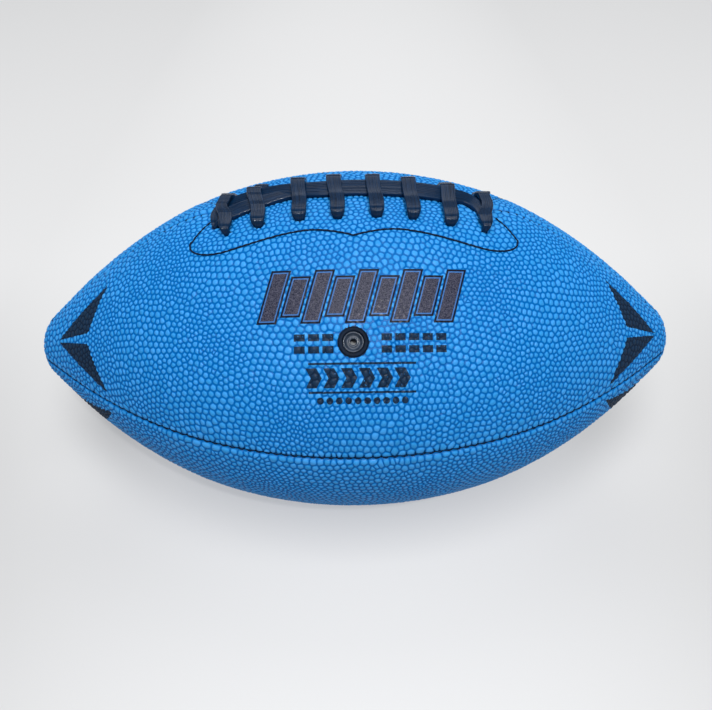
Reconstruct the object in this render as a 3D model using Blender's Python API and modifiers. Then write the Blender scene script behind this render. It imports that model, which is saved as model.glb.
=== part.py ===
"""American football, youth size: four stitched panels, linings, bladder, valve and lace.

Metres, +Z up.  The long axis of the ball lies along X, the laces face +Z and the
panel that carries the valve faces -Y and +Z.  The origin is on the surface that the
ball lies on, straight below its centre.
"""

import math

import bmesh
import bpy
from mathutils import Matrix, Vector

# ----------------------------------------------------------------------------
# Driving dimensions (metres)
# ----------------------------------------------------------------------------
MM = 0.001

R_PANEL = 70.0 * MM          # radius at mid length, in the middle of a panel
R_ARC = 175.0 * MM           # radius of the arc that runs from tip to tip
HALF_LENGTH = 133.6 * MM     # centre to tip
TIP_ROUND = 5.0 * MM         # length of the rounded nose at each tip
SQUARE_MID = 2.4             # superellipse exponent of the cross-section at mid length
SQUARE_TIP = 1.98            # and at the tips
SQUARE_GROW = 2.15
LACE_FLAT = 0.05             # how much the laced opening flattens the top seam
END_SLIM = 1.6 * MM          # how much the ends draw in from the arc
SEAM_DROP = 1.2 * MM         # depth of the valley at a seam
GAP = 0.3 * MM               # clearance between touching pieces

COVER_T = 1.8 * MM           # cover panel thickness
LINING_D = 2.15 * MM         # depth of the lining's outer face below the ball's surface
LINING_T = 0.8 * MM
FACING_T = 1.3 * MM          # lace facing thickness
SHIELD_D = 6.9 * MM          # depth of the bladder shield under the laces
SHIELD_T = 0.9 * MM
BLADDER_D = 3.5 * MM         # depth of the bladder's outer face
BLADDER_LACE_D = 8.4 * MM    # where it lies under the laces
BLADDER_VALVE_D = 6.9 * MM   # where it carries the valve
BLADDER_T = 0.9 * MM

LACE_LOOPS = 8
LACE_PITCH = 14.0 * MM
LACE_X0 = 1.2 * MM           # middle of the lacing along the ball
LACE_HOLE_S = 17.6 * MM      # front hole centre to the seam, along the surface
LACE_HOLE_BACK = 14.6 * MM   # the row behind the seam lies a little closer to it
LACE_HOLE_R = 2.4 * MM
LACE_W = 5.6 * MM            # width of the lace strip
LACE_T = 2.0 * MM            # thickness of the lace strip
END_HOLE = (-51.6 * MM, 11.8 * MM)   # hole that takes the long strand, x and s
THREAD_R = 0.4 * MM
STITCH_R = 0.28 * MM

VALVE_T = math.radians(55.0)  # angle of the valve from the top seam
VALVE_X = -0.6 * MM
FLANGE_R = 5.2 * MM
HEAD_R = 3.8 * MM
NEEDLE_R = 0.8 * MM

# Columns of a panel, as fractions of its half width, and rows along its length.
COLUMNS = (-1.0, -0.93, -0.66, -0.38, -0.13, 0.13, 0.38, 0.66, 0.93, 1.0)
ROW_STEP = 122.0 * MM / 7
NOSE_X = HALF_LENGTH - TIP_ROUND
ROWS = [i * ROW_STEP for i in range(8)] + [NOSE_X, NOSE_X + 0.72 * TIP_ROUND, NOSE_X + 0.998 * TIP_ROUND]
ROWS = [-x for x in reversed(ROWS[1:])] + ROWS

QUARTER = math.pi / 2
TOP, FRONT, BOTTOM, BACK = 0.0, QUARTER, 2 * QUARTER, 3 * QUARTER


# ----------------------------------------------------------------------------
# The ball's surface
# ----------------------------------------------------------------------------
def smoothstep(a, b, x):
    t = min(max((x - a) / (b - a), 0.0), 1.0)
    return t * t * (3 - 2 * t)


def ball_radius(x, t, d=0.0):
    """Distance from the axis at x, at angle t from the top seam, d below the surface."""
    half = HALF_LENGTH - 0.9 * d
    nose = half - TIP_ROUND
    u = min(abs(x) / HALF_LENGTH, 1.0)
    r = math.sqrt(max((R_ARC - d) ** 2 - x * x, 0.0)) - (R_ARC - R_PANEL)
    r -= END_SLIM * smoothstep(50 * MM, 112 * MM, abs(x)) * (1 - 0.8 * smoothstep(119 * MM, 134 * MM, abs(x)))
    q = min(max((abs(x) - nose) / TIP_ROUND, 0.0), 1.0)
    r *= max(1 - q ** 2.6, 0.0) ** (1 / 2.6)
    n = SQUARE_MID + (SQUARE_TIP - SQUARE_MID) * u ** SQUARE_GROW
    phi = t % QUARTER - QUARTER / 2
    r *= (abs(math.cos(phi)) ** n + abs(math.sin(phi)) ** n) ** (-1 / n)
    away = abs((t + math.pi) % (2 * math.pi) - math.pi) / math.radians(24)
    along = 1 - smoothstep(46 * MM, 66 * MM, abs(x))
    return r * (1 - LACE_FLAT * along * (0.5 + 0.5 * math.cos(math.pi * min(away, 1.0))))


def on_ball(x, t, d=0.0):
    r = ball_radius(x, t, d)
    return Vector((x, -r * math.sin(t), r * math.cos(t)))


def ball_normal(x, t):
    e = 0.0005
    dx = on_ball(x + e, t) - on_ball(x - e, t)
    dt = on_ball(x, t + 0.005) - on_ball(x, t - 0.005)
    return dt.cross(dx).normalized()


def angle_at(x, s):
    """Angle t of the point s along the surface from the top seam."""
    t = s / R_PANEL
    for _ in range(3):
        t = s / ball_radius(x, t * 0.5)
    return t


def near_lace(x, s, h):
    """Point at x, s from the top seam, h above the ball's surface."""
    t = angle_at(x, s)
    return on_ball(x, t) + ball_normal(x, t) * h


# ----------------------------------------------------------------------------
# Modelling helpers
# ----------------------------------------------------------------------------
for old in list(bpy.data.objects):
    bpy.data.objects.remove(old, do_unlink=True)

BALL = bpy.data.collections.new("american_football")
CUTTERS = bpy.data.collections.new("cutters")
bpy.context.scene.collection.children.link(BALL)
bpy.context.scene.collection.children.link(CUTTERS)

# The ball lies on the two ridges that run along its bottom seam.
RIDGE_T = BOTTOM + (QUARTER / 2 - GAP / R_PANEL) * (1 - COLUMNS[-2]) + GAP / R_PANEL
CENTRE_HEIGHT = -on_ball(0.0, RIDGE_T).z
root = bpy.data.objects.new("ball_centre", None)
root.location = (0.0, 0.0, CENTRE_HEIGHT)
BALL.objects.link(root)


def material(name, colour, roughness, metallic=0.0):
    mat = bpy.data.materials.new(name)
    mat.use_nodes = True
    shader = next(n for n in mat.node_tree.nodes if n.type == "BSDF_PRINCIPLED")
    shader.inputs["Base Color"].default_value = (*colour, 1.0)
    shader.inputs["Roughness"].default_value = roughness
    shader.inputs["Metallic"].default_value = metallic
    mat.diffuse_color = (*colour, 1.0)
    return mat


def add_object(name, mesh, mat, collection=None):
    obj = bpy.data.objects.new(name, mesh)
    (collection or BALL).objects.link(obj)
    obj.parent = root
    if mat is not None:
        obj.data.materials.append(mat)
    return obj


def mesh_from(bm, name):
    bmesh.ops.recalc_face_normals(bm, faces=bm.faces[:])
    mesh = bpy.data.meshes.new(name)
    bm.to_mesh(mesh)
    bm.free()
    mesh.shade_smooth()
    return mesh


def patch(name, rows, cols, place, outward):
    """Grid whose rows and columns are moved onto the ball by place(row, col)."""
    bm = bmesh.new()
    nx, ny = len(rows) - 1, len(cols) - 1
    bmesh.ops.create_grid(bm, x_segments=nx, y_segments=ny, size=1.0)
    for v in bm.verts:
        i = round((v.co.x + 1) / 2 * nx)
        j = round((v.co.y + 1) / 2 * ny)
        v.co = place(rows[i], cols[j])
    # Every layer splits its quads the same way, so that stacked layers stay parallel.
    bmesh.ops.triangulate(bm, faces=bm.faces[:], quad_method="FIXED")
    bm.normal_update()
    bm.faces.ensure_lookup_table()
    middle = bm.faces[len(bm.faces) // 2]
    if middle.normal.dot(outward(middle.calc_center_median())) < 0:
        bmesh.ops.reverse_faces(bm, faces=bm.faces[:])
    return bm


def from_axis(p):
    return Vector((0.0, p.y, p.z)).normalized()


def finish_patch(bm, name, mat, thickness):
    mesh = bpy.data.meshes.new(name)
    bm.to_mesh(mesh)
    bm.free()
    mesh.shade_smooth()
    mesh.set_sharp_from_angle(angle=math.radians(40))
    obj = add_object(name, mesh, mat)
    shell = obj.modifiers.new("thickness", "SOLIDIFY")
    shell.thickness = thickness
    shell.offset = -1.0
    return obj


def cut(obj, cutter):
    hole = obj.modifiers.new("cut_" + cutter.name, "BOOLEAN")
    hole.operation = "DIFFERENCE"
    hole.solver = "EXACT"
    hole.object = cutter


def cutter_rod(name, foot, direction, radius, length, sides):
    bm = bmesh.new()
    bmesh.ops.create_cone(bm, cap_ends=True, segments=sides, radius1=radius, radius2=radius, depth=length)
    turn = Vector((0, 0, 1)).rotation_difference(direction).to_matrix().to_4x4()
    bmesh.ops.transform(bm, matrix=Matrix.Translation(foot) @ turn, verts=bm.verts[:])
    obj = add_object(name, mesh_from(bm, name), None, CUTTERS)
    obj.hide_render = True
    obj.display_type = "WIRE"
    return obj


def wire(name, points, radius, mat):
    curve = bpy.data.curves.new(name, "CURVE")
    curve.dimensions = "3D"
    curve.bevel_depth = radius
    curve.bevel_resolution = 1
    curve.use_fill_caps = True
    spline = curve.splines.new("POLY")
    spline.points.add(len(points) - 1)
    for point, place in zip(spline.points, points):
        point.co = (*place, 1.0)
    return add_object(name, curve, mat)


def sweep(name, stations, mat):
    """Strip lofted through stations of (point, width direction, width, thickness)."""
    outline = []
    for i in range(6):
        a = math.pi * i / 3
        outline.append((math.copysign(abs(math.cos(a)) ** 0.75, math.cos(a)),
                        math.copysign(abs(math.sin(a)) ** 0.75, math.sin(a)) if abs(math.sin(a)) > 1e-6 else 0.0))
    bm = bmesh.new()
    rings = []
    for i, (p, side, width, thick) in enumerate(stations):
        a = stations[max(i - 1, 0)][0]
        b = stations[min(i + 1, len(stations) - 1)][0]
        along = (b - a).normalized()
        wide = (side - along * side.dot(along)).normalized()
        up = wide.cross(along).normalized()
        rings.append([bm.verts.new(p + wide * (u * width / 2) + up * (v * thick / 2)) for u, v in outline])
    for low, high in zip(rings, rings[1:]):
        for j in range(6):
            k = (j + 1) % 6
            bm.faces.new((low[j], low[k], high[k], high[j]))
    bm.faces.new(rings[0])
    bm.faces.new(rings[-1])
    mesh = mesh_from(bm, name)
    mesh.set_sharp_from_angle(angle=math.radians(50))
    return add_object(name, mesh, mat)


def turned(name, profile, steps, mat, bend=None):
    """Body of revolution about the valve's axis, from a profile of (radius, height)."""
    mesh = bpy.data.meshes.new(name + "_profile")
    closed = profile[0][0] > 1e-9
    edges = [(i, i + 1) for i in range(len(profile) - 1)]
    if closed:
        edges.append((len(profile) - 1, 0))
    mesh.from_pydata([(r, 0.0, z) for r, z in profile], edges, [])
    obj = add_object(name, mesh, mat)
    screw = obj.modifiers.new("turn", "SCREW")
    screw.axis = "Z"
    screw.angle = 2 * math.pi
    screw.steps = steps
    screw.render_steps = steps
    screw.use_merge_vertices = True
    screw.merge_threshold = 0.00001
    screw.use_smooth_shade = True
    obj.matrix_local = VALVE_FRAME
    if bend is not None:
        # A flat disc becomes a patch that follows the ball's two curvatures.
        bpy.context.view_layer.update()
        shaped = bpy.data.meshes.new_from_object(obj.evaluated_get(bpy.context.evaluated_depsgraph_get()))
        for v in shaped.vertices:
            v.co.z -= v.co.x ** 2 / (2 * R_ARC) + v.co.y ** 2 / (2 * (R_PANEL - bend))
        obj.modifiers.clear()
        obj.data = shaped
        obj.data.materials.clear()
        obj.data.materials.append(mat)
    return obj


# ----------------------------------------------------------------------------
# Materials
# ----------------------------------------------------------------------------
COVER = material("cover_blue", (0.035, 0.27, 0.72), 0.45)
LINING = material("lining_canvas", (0.74, 0.71, 0.62), 0.9)
RUBBER = material("bladder_rubber", (0.04, 0.04, 0.045), 0.6)
PATCH = material("patch_rubber", (0.10, 0.10, 0.11), 0.7)
VALVE_SOFT = material("valve_housing_rubber", (0.015, 0.016, 0.018), 0.6)
VALVE_HARD = material("valve_plug_rubber", (0.03, 0.03, 0.034), 0.3)
LACE = material("lace_navy", (0.022, 0.035, 0.058), 0.5)
THREAD = material("seam_thread_black", (0.02, 0.03, 0.05), 0.8)
STITCH = material("stitch_black", (0.015, 0.02, 0.03), 0.8)
FACING = material("facing_fabric", (0.12, 0.13, 0.15), 0.9)
SHIELD = material("shield_felt", (0.25, 0.25, 0.27), 0.95)

# ----------------------------------------------------------------------------
# Cover panels and linings
# ----------------------------------------------------------------------------


def column_angle(x, c, centre, d):
    """Angle of column c of the panel whose middle is at centre, clear of the seam planes."""
    r = max(ball_radius(x, centre, d), 0.5 * MM)
    half = QUARTER / 2 - min(GAP / r, math.radians(24))
    return centre + half * c


def seam_drop(r):
    """Depth of the seam's valley, which runs out towards the tips."""
    return min(SEAM_DROP * min(r / (45 * MM), 1.0), 0.25 * r)


def panel_point(centre, d):
    def place(x, c):
        t = column_angle(x, c, centre, d)
        r = ball_radius(x, t, d)
        if abs(c) > 0.999:
            r -= seam_drop(r)
        elif d > 0 and abs(c) > 0.9:
            t -= math.copysign(1.2 * MM / r, c)
        return Vector((x, -r * math.sin(t), r * math.cos(t)))
    return place


LACE_ROW = 4 * ROW_STEP      # rows up to here carry the lace facing
PANELS = (
    ("front_top", TOP + QUARTER / 2, -1),
    ("back_top", TOP - QUARTER / 2, 1),
    ("front_bottom", FRONT + QUARTER / 2, 0),
    ("back_bottom", BOTTOM + QUARTER / 2, 0),
)
covers, linings = {}, {}
for panel, middle, lace_side in PANELS:
    bm = patch(panel, ROWS, COLUMNS, panel_point(middle, 0.0), from_axis)
    covers[panel] = finish_patch(bm, "cover_" + panel, COVER, COVER_T)

    # The lining stops short of the seams, where the edges of the covers turn in.
    inner_rows = [x for x in ROWS if abs(x) < NOSE_X - MM]
    bm = patch(panel, inner_rows, COLUMNS[1:-1], panel_point(middle, LINING_D), from_axis)
    if lace_side:
        # The lining stops at the lace facing, which takes its place behind the holes.
        inside = [f for f in bm.faces
                  if abs(f.calc_center_median().x) < LACE_ROW
                  and abs(math.atan2(-f.calc_center_median().y, f.calc_center_median().z)) < math.radians(27.9)]
        bmesh.ops.delete(bm, geom=inside, context="FACES")
    linings[panel] = finish_patch(bm, "lining_" + panel, LINING, LINING_T)

# ----------------------------------------------------------------------------
# Lace facings and bladder shield
# ----------------------------------------------------------------------------
PANEL_HALF = QUARTER / 2
column_t = [PANEL_HALF * (1 - c) for c in (0.93, 0.66, 0.38)]   # from the top seam
facing_rows = [-LACE_ROW + MM] + [x for x in ROWS if abs(x) < LACE_ROW - MM] + [LACE_ROW - MM]
facings = {}
for side, sign in (("front", 1), ("back", -1)):
    angles = sorted(sign * a for a in (column_t[0] + math.radians(0.6), column_t[1], column_t[2] - math.radians(0.6)))
    bm = patch(side, facing_rows, angles, lambda x, t: on_ball(x, t, LINING_D), from_axis)
    facings[side] = finish_patch(bm, "lace_facing_" + side, FACING, FACING_T)

shield_angles = [s * a for s, a in ((-1, math.radians(23)), (-1, column_t[1]), (-1, column_t[0]),
                                    (1, column_t[0]), (1, column_t[1]), (1, math.radians(23)))]
bm = patch("shield", facing_rows, shield_angles, lambda x, t: on_ball(x, t, SHIELD_D), from_axis)
finish_patch(bm, "bladder_shield", SHIELD, SHIELD_T)

# ----------------------------------------------------------------------------
# Lace holes, cut through the covers and the facings
# ----------------------------------------------------------------------------
loop_x = [LACE_X0 + (i - (LACE_LOOPS - 1) / 2) * LACE_PITCH for i in range(LACE_LOOPS)]
holes = [("front", x, LACE_HOLE_S) for x in loop_x] + [("back", x, -LACE_HOLE_BACK) for x in loop_x]
holes.append(("front", END_HOLE[0], END_HOLE[1]))
for side in ("front", "back"):
    # One cutter object holds the punches of one side, which stand clear of each other.
    bm = bmesh.new()
    for _, x, s in [h for h in holes if h[0] == side]:
        t = angle_at(x, s)
        normal = ball_normal(x, t)
        punch = bmesh.ops.create_cone(bm, cap_ends=True, segments=8, radius1=LACE_HOLE_R,
                                      radius2=LACE_HOLE_R, depth=9 * MM)
        turn = Vector((0, 0, 1)).rotation_difference(normal).to_matrix().to_4x4()
        place = Matrix.Translation(on_ball(x, t) - normal * 1.5 * MM) @ turn
        bmesh.ops.transform(bm, matrix=place, verts=punch["verts"])
    punches = add_object("lace_punches_" + side, mesh_from(bm, "lace_punches_" + side), None, CUTTERS)
    punches.hide_render = True
    punches.display_type = "WIRE"
    cut(covers[side + "_top"], punches)
    cut(facings[side], punches)

# ----------------------------------------------------------------------------
# Lace: one continuous strip
# ----------------------------------------------------------------------------
X_DIR = Vector((1, 0, 0))


def station(x, s, h, side, width, thick):
    """side is the width direction: 0 along the ball, 1 around it."""
    p = near_lace(x * MM, s * MM, h * MM)
    t = angle_at(x * MM, s * MM)
    around = Vector((0, -math.cos(t), -math.sin(t)))
    return (p, X_DIR * (1 - side) + around * side, width * MM, thick * MM)


def lace_stations():
    w, k = LACE_W / MM, LACE_T / MM
    hs, hb = LACE_HOLE_S / MM, LACE_HOLE_BACK / MM
    xs = [x / MM for x in loop_x]
    ex, es = END_HOLE[0] / MM, END_HOLE[1] / MM
    deep, hole_w, hole_k = -5.5, 3.4, 1.8
    out = []

    def strand(x, s, turn, size=1.0):
        """Long strand on the surface; turn is 0 where it runs around the ball, 1 along it."""
        p = near_lace(x * MM, s * MM, 1.36 * MM)
        t = angle_at(x * MM, s * MM)
        around = Vector((0, -math.cos(t), -math.sin(t)))
        a = abs(turn) * QUARTER
        side = X_DIR * math.copysign(math.cos(a), turn) + around * math.sin(a)
        return (p, side, w * size * MM, k * size * MM)

    # Free end, tucked beside the last loop, then the long strand over the seam.
    # A negative turn is the bend at the +X end, where the strip turns the other way round.
    last = xs[-1] - 6.0
    for n, (x, s, turn) in enumerate(((last, 13.2, -1e-6), (last, 10.5, -1e-6), (last - 0.1, 7.5, -0.08),
                                      (last - 0.9, 4.6, -0.3), (last - 2.9, 2.0, -0.62),
                                      (last - 5.8, 0.6, -0.88), (last - 9.0, 0.1, -1.0))):
        out.append(strand(x, s, turn, 0.8 if n == 0 else 1.0))
    x = last - 15.0
    while x > ex + 8.5:
        out.append(station(x, 0.0, 1.35, 1.0, w, k))
        x -= 7.0
    for dx, s, turn in ((5.6, 0.5, 1.0), (3.0, 1.7, 0.72), (1.2, 3.7, 0.4), (0.2, 6.2, 0.1), (0.0, 8.6, 0.0)):
        out.append(strand(ex + dx, s, turn))
    # Down through the end hole and across, under the covers, to the first back hole.
    out += [station(ex, es - 0.6, 1.25, 0, w * 0.85, k), station(ex, es, -0.3, 0, hole_w, hole_k),
            station(ex, es, -2.2, 0, hole_w, hole_k), station(ex, es, -4.1, 0, hole_w, hole_k)]

    def under(x0, s0, x1, s1):
        steps = 5
        runs = [station(x0 + (x1 - x0) * 0.05, s0 + (s1 - s0) * 0.05, deep, 0, 4.6, 1.8)]
        for i in range(1, steps):
            f = 0.05 + 0.9 * i / steps
            runs.append(station(x0 + (x1 - x0) * f, s0 + (s1 - s0) * f, deep, 0, 5.0, 1.8))
        runs.append(station(x0 + (x1 - x0) * 0.95, s0 + (s1 - s0) * 0.95, deep, 0, 4.6, 1.8))
        return runs

    out += under(ex, es, xs[0], -hb)

    def arch(hole):
        return ((hole + 0.3, 0.9, 0.86), (hole - 0.9, 1.85, 1.0), (0.72 * hole + 0.4, 2.5, 1.0), (0.45 * hole + 0.3, 3.15, 1.0),
                (4.2, 3.65, 1.0), (0.0, 3.85, 1.0))

    for i, lx in enumerate(xs):
        out += [station(lx, -hb, -4.1, 0, hole_w, hole_k), station(lx, -hb, -2.2, 0, hole_w, hole_k),
                station(lx, -hb, -0.4, 0, hole_w, hole_k)]
        out += [station(lx, -s, h, 0, w * f, k) for s, h, f in arch(hb)]
        out += [station(lx, s, h, 0, w * f, k) for s, h, f in reversed(arch(hs)[:-1])]
        out += [station(lx, hs, -0.4, 0, hole_w, hole_k), station(lx, hs, -2.2, 0, hole_w, hole_k),
                station(lx, hs, -4.1, 0, hole_w, hole_k)]
        if i + 1 < len(xs):
            out += under(lx, hs, xs[i + 1], -hb)
        else:
            out += [station(lx - 0.6, hs - 1.8, deep, 0, 4.6, 1.8), station(lx - 2.5, hs - 7.0, deep, 0, 5.0, 1.8),
                    station(lx - 4.5, hs - 12.5, deep, 0, 5.0, 1.8)]
    return out


sweep("lace", lace_stations(), LACE)

# ----------------------------------------------------------------------------
# Seam threads, lying in the valleys, and the stitch rows of the facings
# ----------------------------------------------------------------------------


def seam_points(t, x0, x1):
    points = []
    for x in ROWS:
        if x0 - 1e-6 <= x <= x1 + 1e-6:
            r = ball_radius(x, t)
            r += 0.52 * MM - seam_drop(r)
            points.append(Vector((x, -r * math.sin(t), r * math.cos(t))))
    return points


wire("seam_thread_front", seam_points(FRONT, -NOSE_X, NOSE_X), THREAD_R, THREAD)
wire("seam_thread_bottom", seam_points(BOTTOM, -NOSE_X, NOSE_X), THREAD_R, THREAD)
wire("seam_thread_back", seam_points(BACK, -NOSE_X, NOSE_X), THREAD_R, THREAD)
wire("seam_thread_top_left", seam_points(TOP, -NOSE_X, -LACE_ROW), THREAD_R, THREAD)
wire("seam_thread_top_right", seam_points(TOP, LACE_ROW, NOSE_X), THREAD_R, THREAD)


def stitch_outline():
    """Outline sewn round a facing, as (x, s) in mm: a long leaf with a notch in the middle."""
    def depth(x):
        a = abs(x)
        if a < 17:
            return 25.1 + 3.6 * (1 - a / 17) ** 1.6
        if a < 47:
            return 25.1 + 2.2 * smoothstep(17, 47, a)
        return 18.7 + 8.6 * math.sqrt(max(1 - ((a - 47) / 14.5) ** 2, 0.0))

    right = [(61.5 - 1.0 * i, 18.7 - 1.9 * i ** 0.9) for i in range(6, 0, -1)]
    points = [(-x, s) for x, s in right]
    x = -61.5
    while x < 61.51:
        points.append((x, depth(x)))
        x += 2.05 if 47 < abs(x + 1) else 3.0
    points.append((61.5, 18.7))
    points += list(reversed(right))
    return points


def sewn_on(side):
    """Points of the stitch row, held just off the flat faces of the cover."""
    bpy.context.view_layer.update()
    cover = covers[side + "_top"]
    graph = bpy.context.evaluated_depsgraph_get()
    body = cover.evaluated_get(graph)
    sign = 1 if side == "front" else -1
    points = []
    for x, s in stitch_outline():
        t = angle_at(x * MM, sign * s * MM)
        n = ball_normal(x * MM, t)
        start = on_ball(x * MM, t) + n * 5 * MM
        hit, place, _, _ = body.ray_cast(start, -n, distance=12 * MM)
        points.append((place if hit else start - n * 5 * MM) + n * (STITCH_R + 0.24 * MM))
    return points


wire("facing_stitch_front", sewn_on("front"), STITCH_R, STITCH)
wire("facing_stitch_back", sewn_on("back"), STITCH_R, STITCH)

# ----------------------------------------------------------------------------
# Bladder
# ----------------------------------------------------------------------------
BLADDER_TURNS = sorted({round(q * QUARTER + PANEL_HALF * (1 + c), 6) for q in range(4) for c in COLUMNS[:-1]})


def bladder_depth(x, t):
    lace = (1 - smoothstep(74 * MM, 97 * MM, abs(x)))
    away = abs((t + math.pi) % (2 * math.pi) - math.pi)
    lace *= 1 - smoothstep(math.radians(30), math.radians(50), away)
    valve = (1 - smoothstep(25 * MM, 48 * MM, abs(x)))
    valve *= 1 - smoothstep(math.radians(22), math.radians(34), abs(t - VALVE_T))
    return max(BLADDER_D, BLADDER_D + (BLADDER_LACE_D - BLADDER_D) * lace,
               BLADDER_D + (BLADDER_VALVE_D - BLADDER_D) * valve)


def make_bladder():
    """Ring by ring from end to end: a cylinder whose rings are set to the ball's sections."""
    rows = [i * 24.4 * MM for i in range(-5, 6)]
    rows = [-127.0 * MM] + rows + [127.0 * MM]
    count = len(BLADDER_TURNS)
    bm = bmesh.new()
    rings = []
    for x in rows:
        ring = []
        for t in BLADDER_TURNS:
            r = ball_radius(x, t, bladder_depth(x, t))
            ring.append(bm.verts.new((x, -r * math.sin(t), r * math.cos(t))))
        rings.append(ring)
    for low, high in zip(rings, rings[1:]):
        for j in range(count):
            k = (j + 1) % count
            bm.faces.new((low[j], low[k], high[k], high[j]))
    for ring, x in ((rings[0], -129.5 * MM), (rings[-1], 129.5 * MM)):
        pole = bm.verts.new((x, 0, 0))
        for j in range(count):
            bm.faces.new((ring[j], ring[(j + 1) % count], pole))
    mesh = mesh_from(bm, "bladder")
    obj = add_object("bladder", mesh, RUBBER)
    wall = obj.modifiers.new("wall", "SOLIDIFY")
    wall.thickness = BLADDER_T
    wall.offset = -1.0
    return obj


bladder = make_bladder()

# ----------------------------------------------------------------------------
# Valve
# ----------------------------------------------------------------------------
valve_foot = on_ball(VALVE_X, VALVE_T)
valve_normal = ball_normal(VALVE_X, VALVE_T)
valve_around = valve_normal.cross(X_DIR).normalized()
valve_along = valve_around.cross(valve_normal).normalized()
VALVE_FRAME = Matrix((
    (valve_along.x, valve_around.x, valve_normal.x, valve_foot.x),
    (valve_along.y, valve_around.y, valve_normal.y, valve_foot.y),
    (valve_along.z, valve_around.z, valve_normal.z, valve_foot.z),
    (0, 0, 0, 1)))

cover_bore = cutter_rod("cover_valve_bore", valve_foot - valve_normal * 1 * MM, valve_normal,
                        FLANGE_R + 0.4 * MM, 8 * MM, 32)
bladder_bore = cutter_rod("bladder_valve_bore", valve_foot - valve_normal * 8 * MM, valve_normal,
                          4.4 * MM, 10 * MM, 24)
cut(covers["front_top"], cover_bore)
cut(linings["front_top"], cover_bore)
cut(bladder, bladder_bore)

turned("valve_housing", [(r * MM, z * MM) for r, z in (
    (HEAD_R / MM + 0.35, -0.35), (4.35, -0.12), (4.8, -0.1), (FLANGE_R / MM - 0.1, -0.3),
    (FLANGE_R / MM, -0.6), (FLANGE_R / MM, -2.7), (3.9, -3.0),
    (3.9, -9.0), (3.4, -9.5), (2.6, -9.5), (2.6, -1.45), (HEAD_R / MM + 0.35, -1.45))], 32, VALVE_SOFT)
turned("valve_plug", [(r * MM, z * MM) for r, z in (
    (0.0, -6.0), (NEEDLE_R / MM, -6.0), (NEEDLE_R / MM, -0.35), (1.25, 0.05), (1.5, 0.25), (3.3, 0.25),
    (3.65, 0.12), (HEAD_R / MM, -0.2), (HEAD_R / MM, -1.1), (2.25, -1.1), (2.25, -9.0), (1.7, -9.8),
    (0.0, -9.8))], 32, VALVE_HARD)
turned("valve_hole_facing", [(r * MM, z * MM) for r, z in (
    (4.3, -3.75), (8.0, -3.75), (12.0, -3.75), (12.0, -4.4), (8.0, -4.4), (4.3, -4.4))], 32, FACING, bend=4 * MM)
turned("valve_base", [(r * MM, z * MM) for r, z in (
    (4.3, -4.8), (9.0, -4.8), (13.0, -5.2), (14.0, -5.8), (9.0, -5.8), (4.3, -5.8))], 32, PATCH, bend=5 * MM)

bpy.context.view_layer.update()
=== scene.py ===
import math

import bmesh
import bpy
import numpy as np
from mathutils import Matrix, Vector
from mathutils.geometry import delaunay_2d_cdt


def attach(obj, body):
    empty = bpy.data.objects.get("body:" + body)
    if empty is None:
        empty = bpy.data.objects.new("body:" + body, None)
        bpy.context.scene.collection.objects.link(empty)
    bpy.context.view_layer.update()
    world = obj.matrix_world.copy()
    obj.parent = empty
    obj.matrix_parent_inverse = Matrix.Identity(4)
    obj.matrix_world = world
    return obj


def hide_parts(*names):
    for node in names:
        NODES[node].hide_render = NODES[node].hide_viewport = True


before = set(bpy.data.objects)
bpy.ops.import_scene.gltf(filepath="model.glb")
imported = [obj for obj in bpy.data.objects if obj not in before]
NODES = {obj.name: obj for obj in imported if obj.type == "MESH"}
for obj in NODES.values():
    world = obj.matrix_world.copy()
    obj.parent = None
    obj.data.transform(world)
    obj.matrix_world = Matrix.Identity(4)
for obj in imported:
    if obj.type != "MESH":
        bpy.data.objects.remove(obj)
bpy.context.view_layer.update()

# ----------------------------------------------------------------------------
# The ball's surface, in millimetres about the middle of the ball, as in part.py
# ----------------------------------------------------------------------------
R_PANEL, R_ARC, HALF_LENGTH, TIP_ROUND, END_SLIM = 70.0, 175.0, 133.6, 5.0, 1.6
SQUARE_MID, SQUARE_TIP, SQUARE_GROW = 2.4, 1.98, 2.15
LACE_FLAT, SEAM_DROP = 0.05, 1.2
CENTRE_HEIGHT = 0.07398226857
MM = 0.001
QUARTER = math.pi / 2
TOP, FRONT, BOTTOM, BACK = 0.0, QUARTER, 2 * QUARTER, 3 * QUARTER
CENTRE = Vector((0, 0, CENTRE_HEIGHT))


def smoothstep(a, b, x):
    t = np.clip((np.asarray(x, float) - a) / (b - a), 0, 1)
    return t * t * (3 - 2 * t)


def arc_radius(x):
    """Radius of the ball at the middle of a panel, without the laced flat."""
    r = np.sqrt(np.maximum(R_ARC ** 2 - x * x, 0)) - (R_ARC - R_PANEL)
    r = r - END_SLIM * smoothstep(50, 112, np.abs(x)) * (1 - 0.8 * smoothstep(119, 134, np.abs(x)))
    q = np.clip((np.abs(x) - (HALF_LENGTH - TIP_ROUND)) / TIP_ROUND, 0, 1)
    return r * np.maximum(1 - q ** 2.6, 0) ** (1 / 2.6)


def ball_radius(x, t):
    x, t = np.asarray(x, float), np.asarray(t, float)
    u = np.minimum(np.abs(x) / HALF_LENGTH, 1)
    n = SQUARE_MID + (SQUARE_TIP - SQUARE_MID) * u ** SQUARE_GROW
    phi = t % QUARTER - QUARTER / 2
    r = arc_radius(x) * (np.abs(np.cos(phi)) ** n + np.abs(np.sin(phi)) ** n) ** (-1 / n)
    away = np.abs((t + math.pi) % (2 * math.pi) - math.pi) / math.radians(24)
    along = 1 - smoothstep(46, 66, np.abs(x))
    return r * (1 - LACE_FLAT * along * (0.5 + 0.5 * np.cos(math.pi * np.minimum(away, 1.0))))


def on_ball(x, t):
    r = ball_radius(x, t)
    return np.stack([np.broadcast_to(x, r.shape), -r * np.sin(t), r * np.cos(t)], -1)


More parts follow.
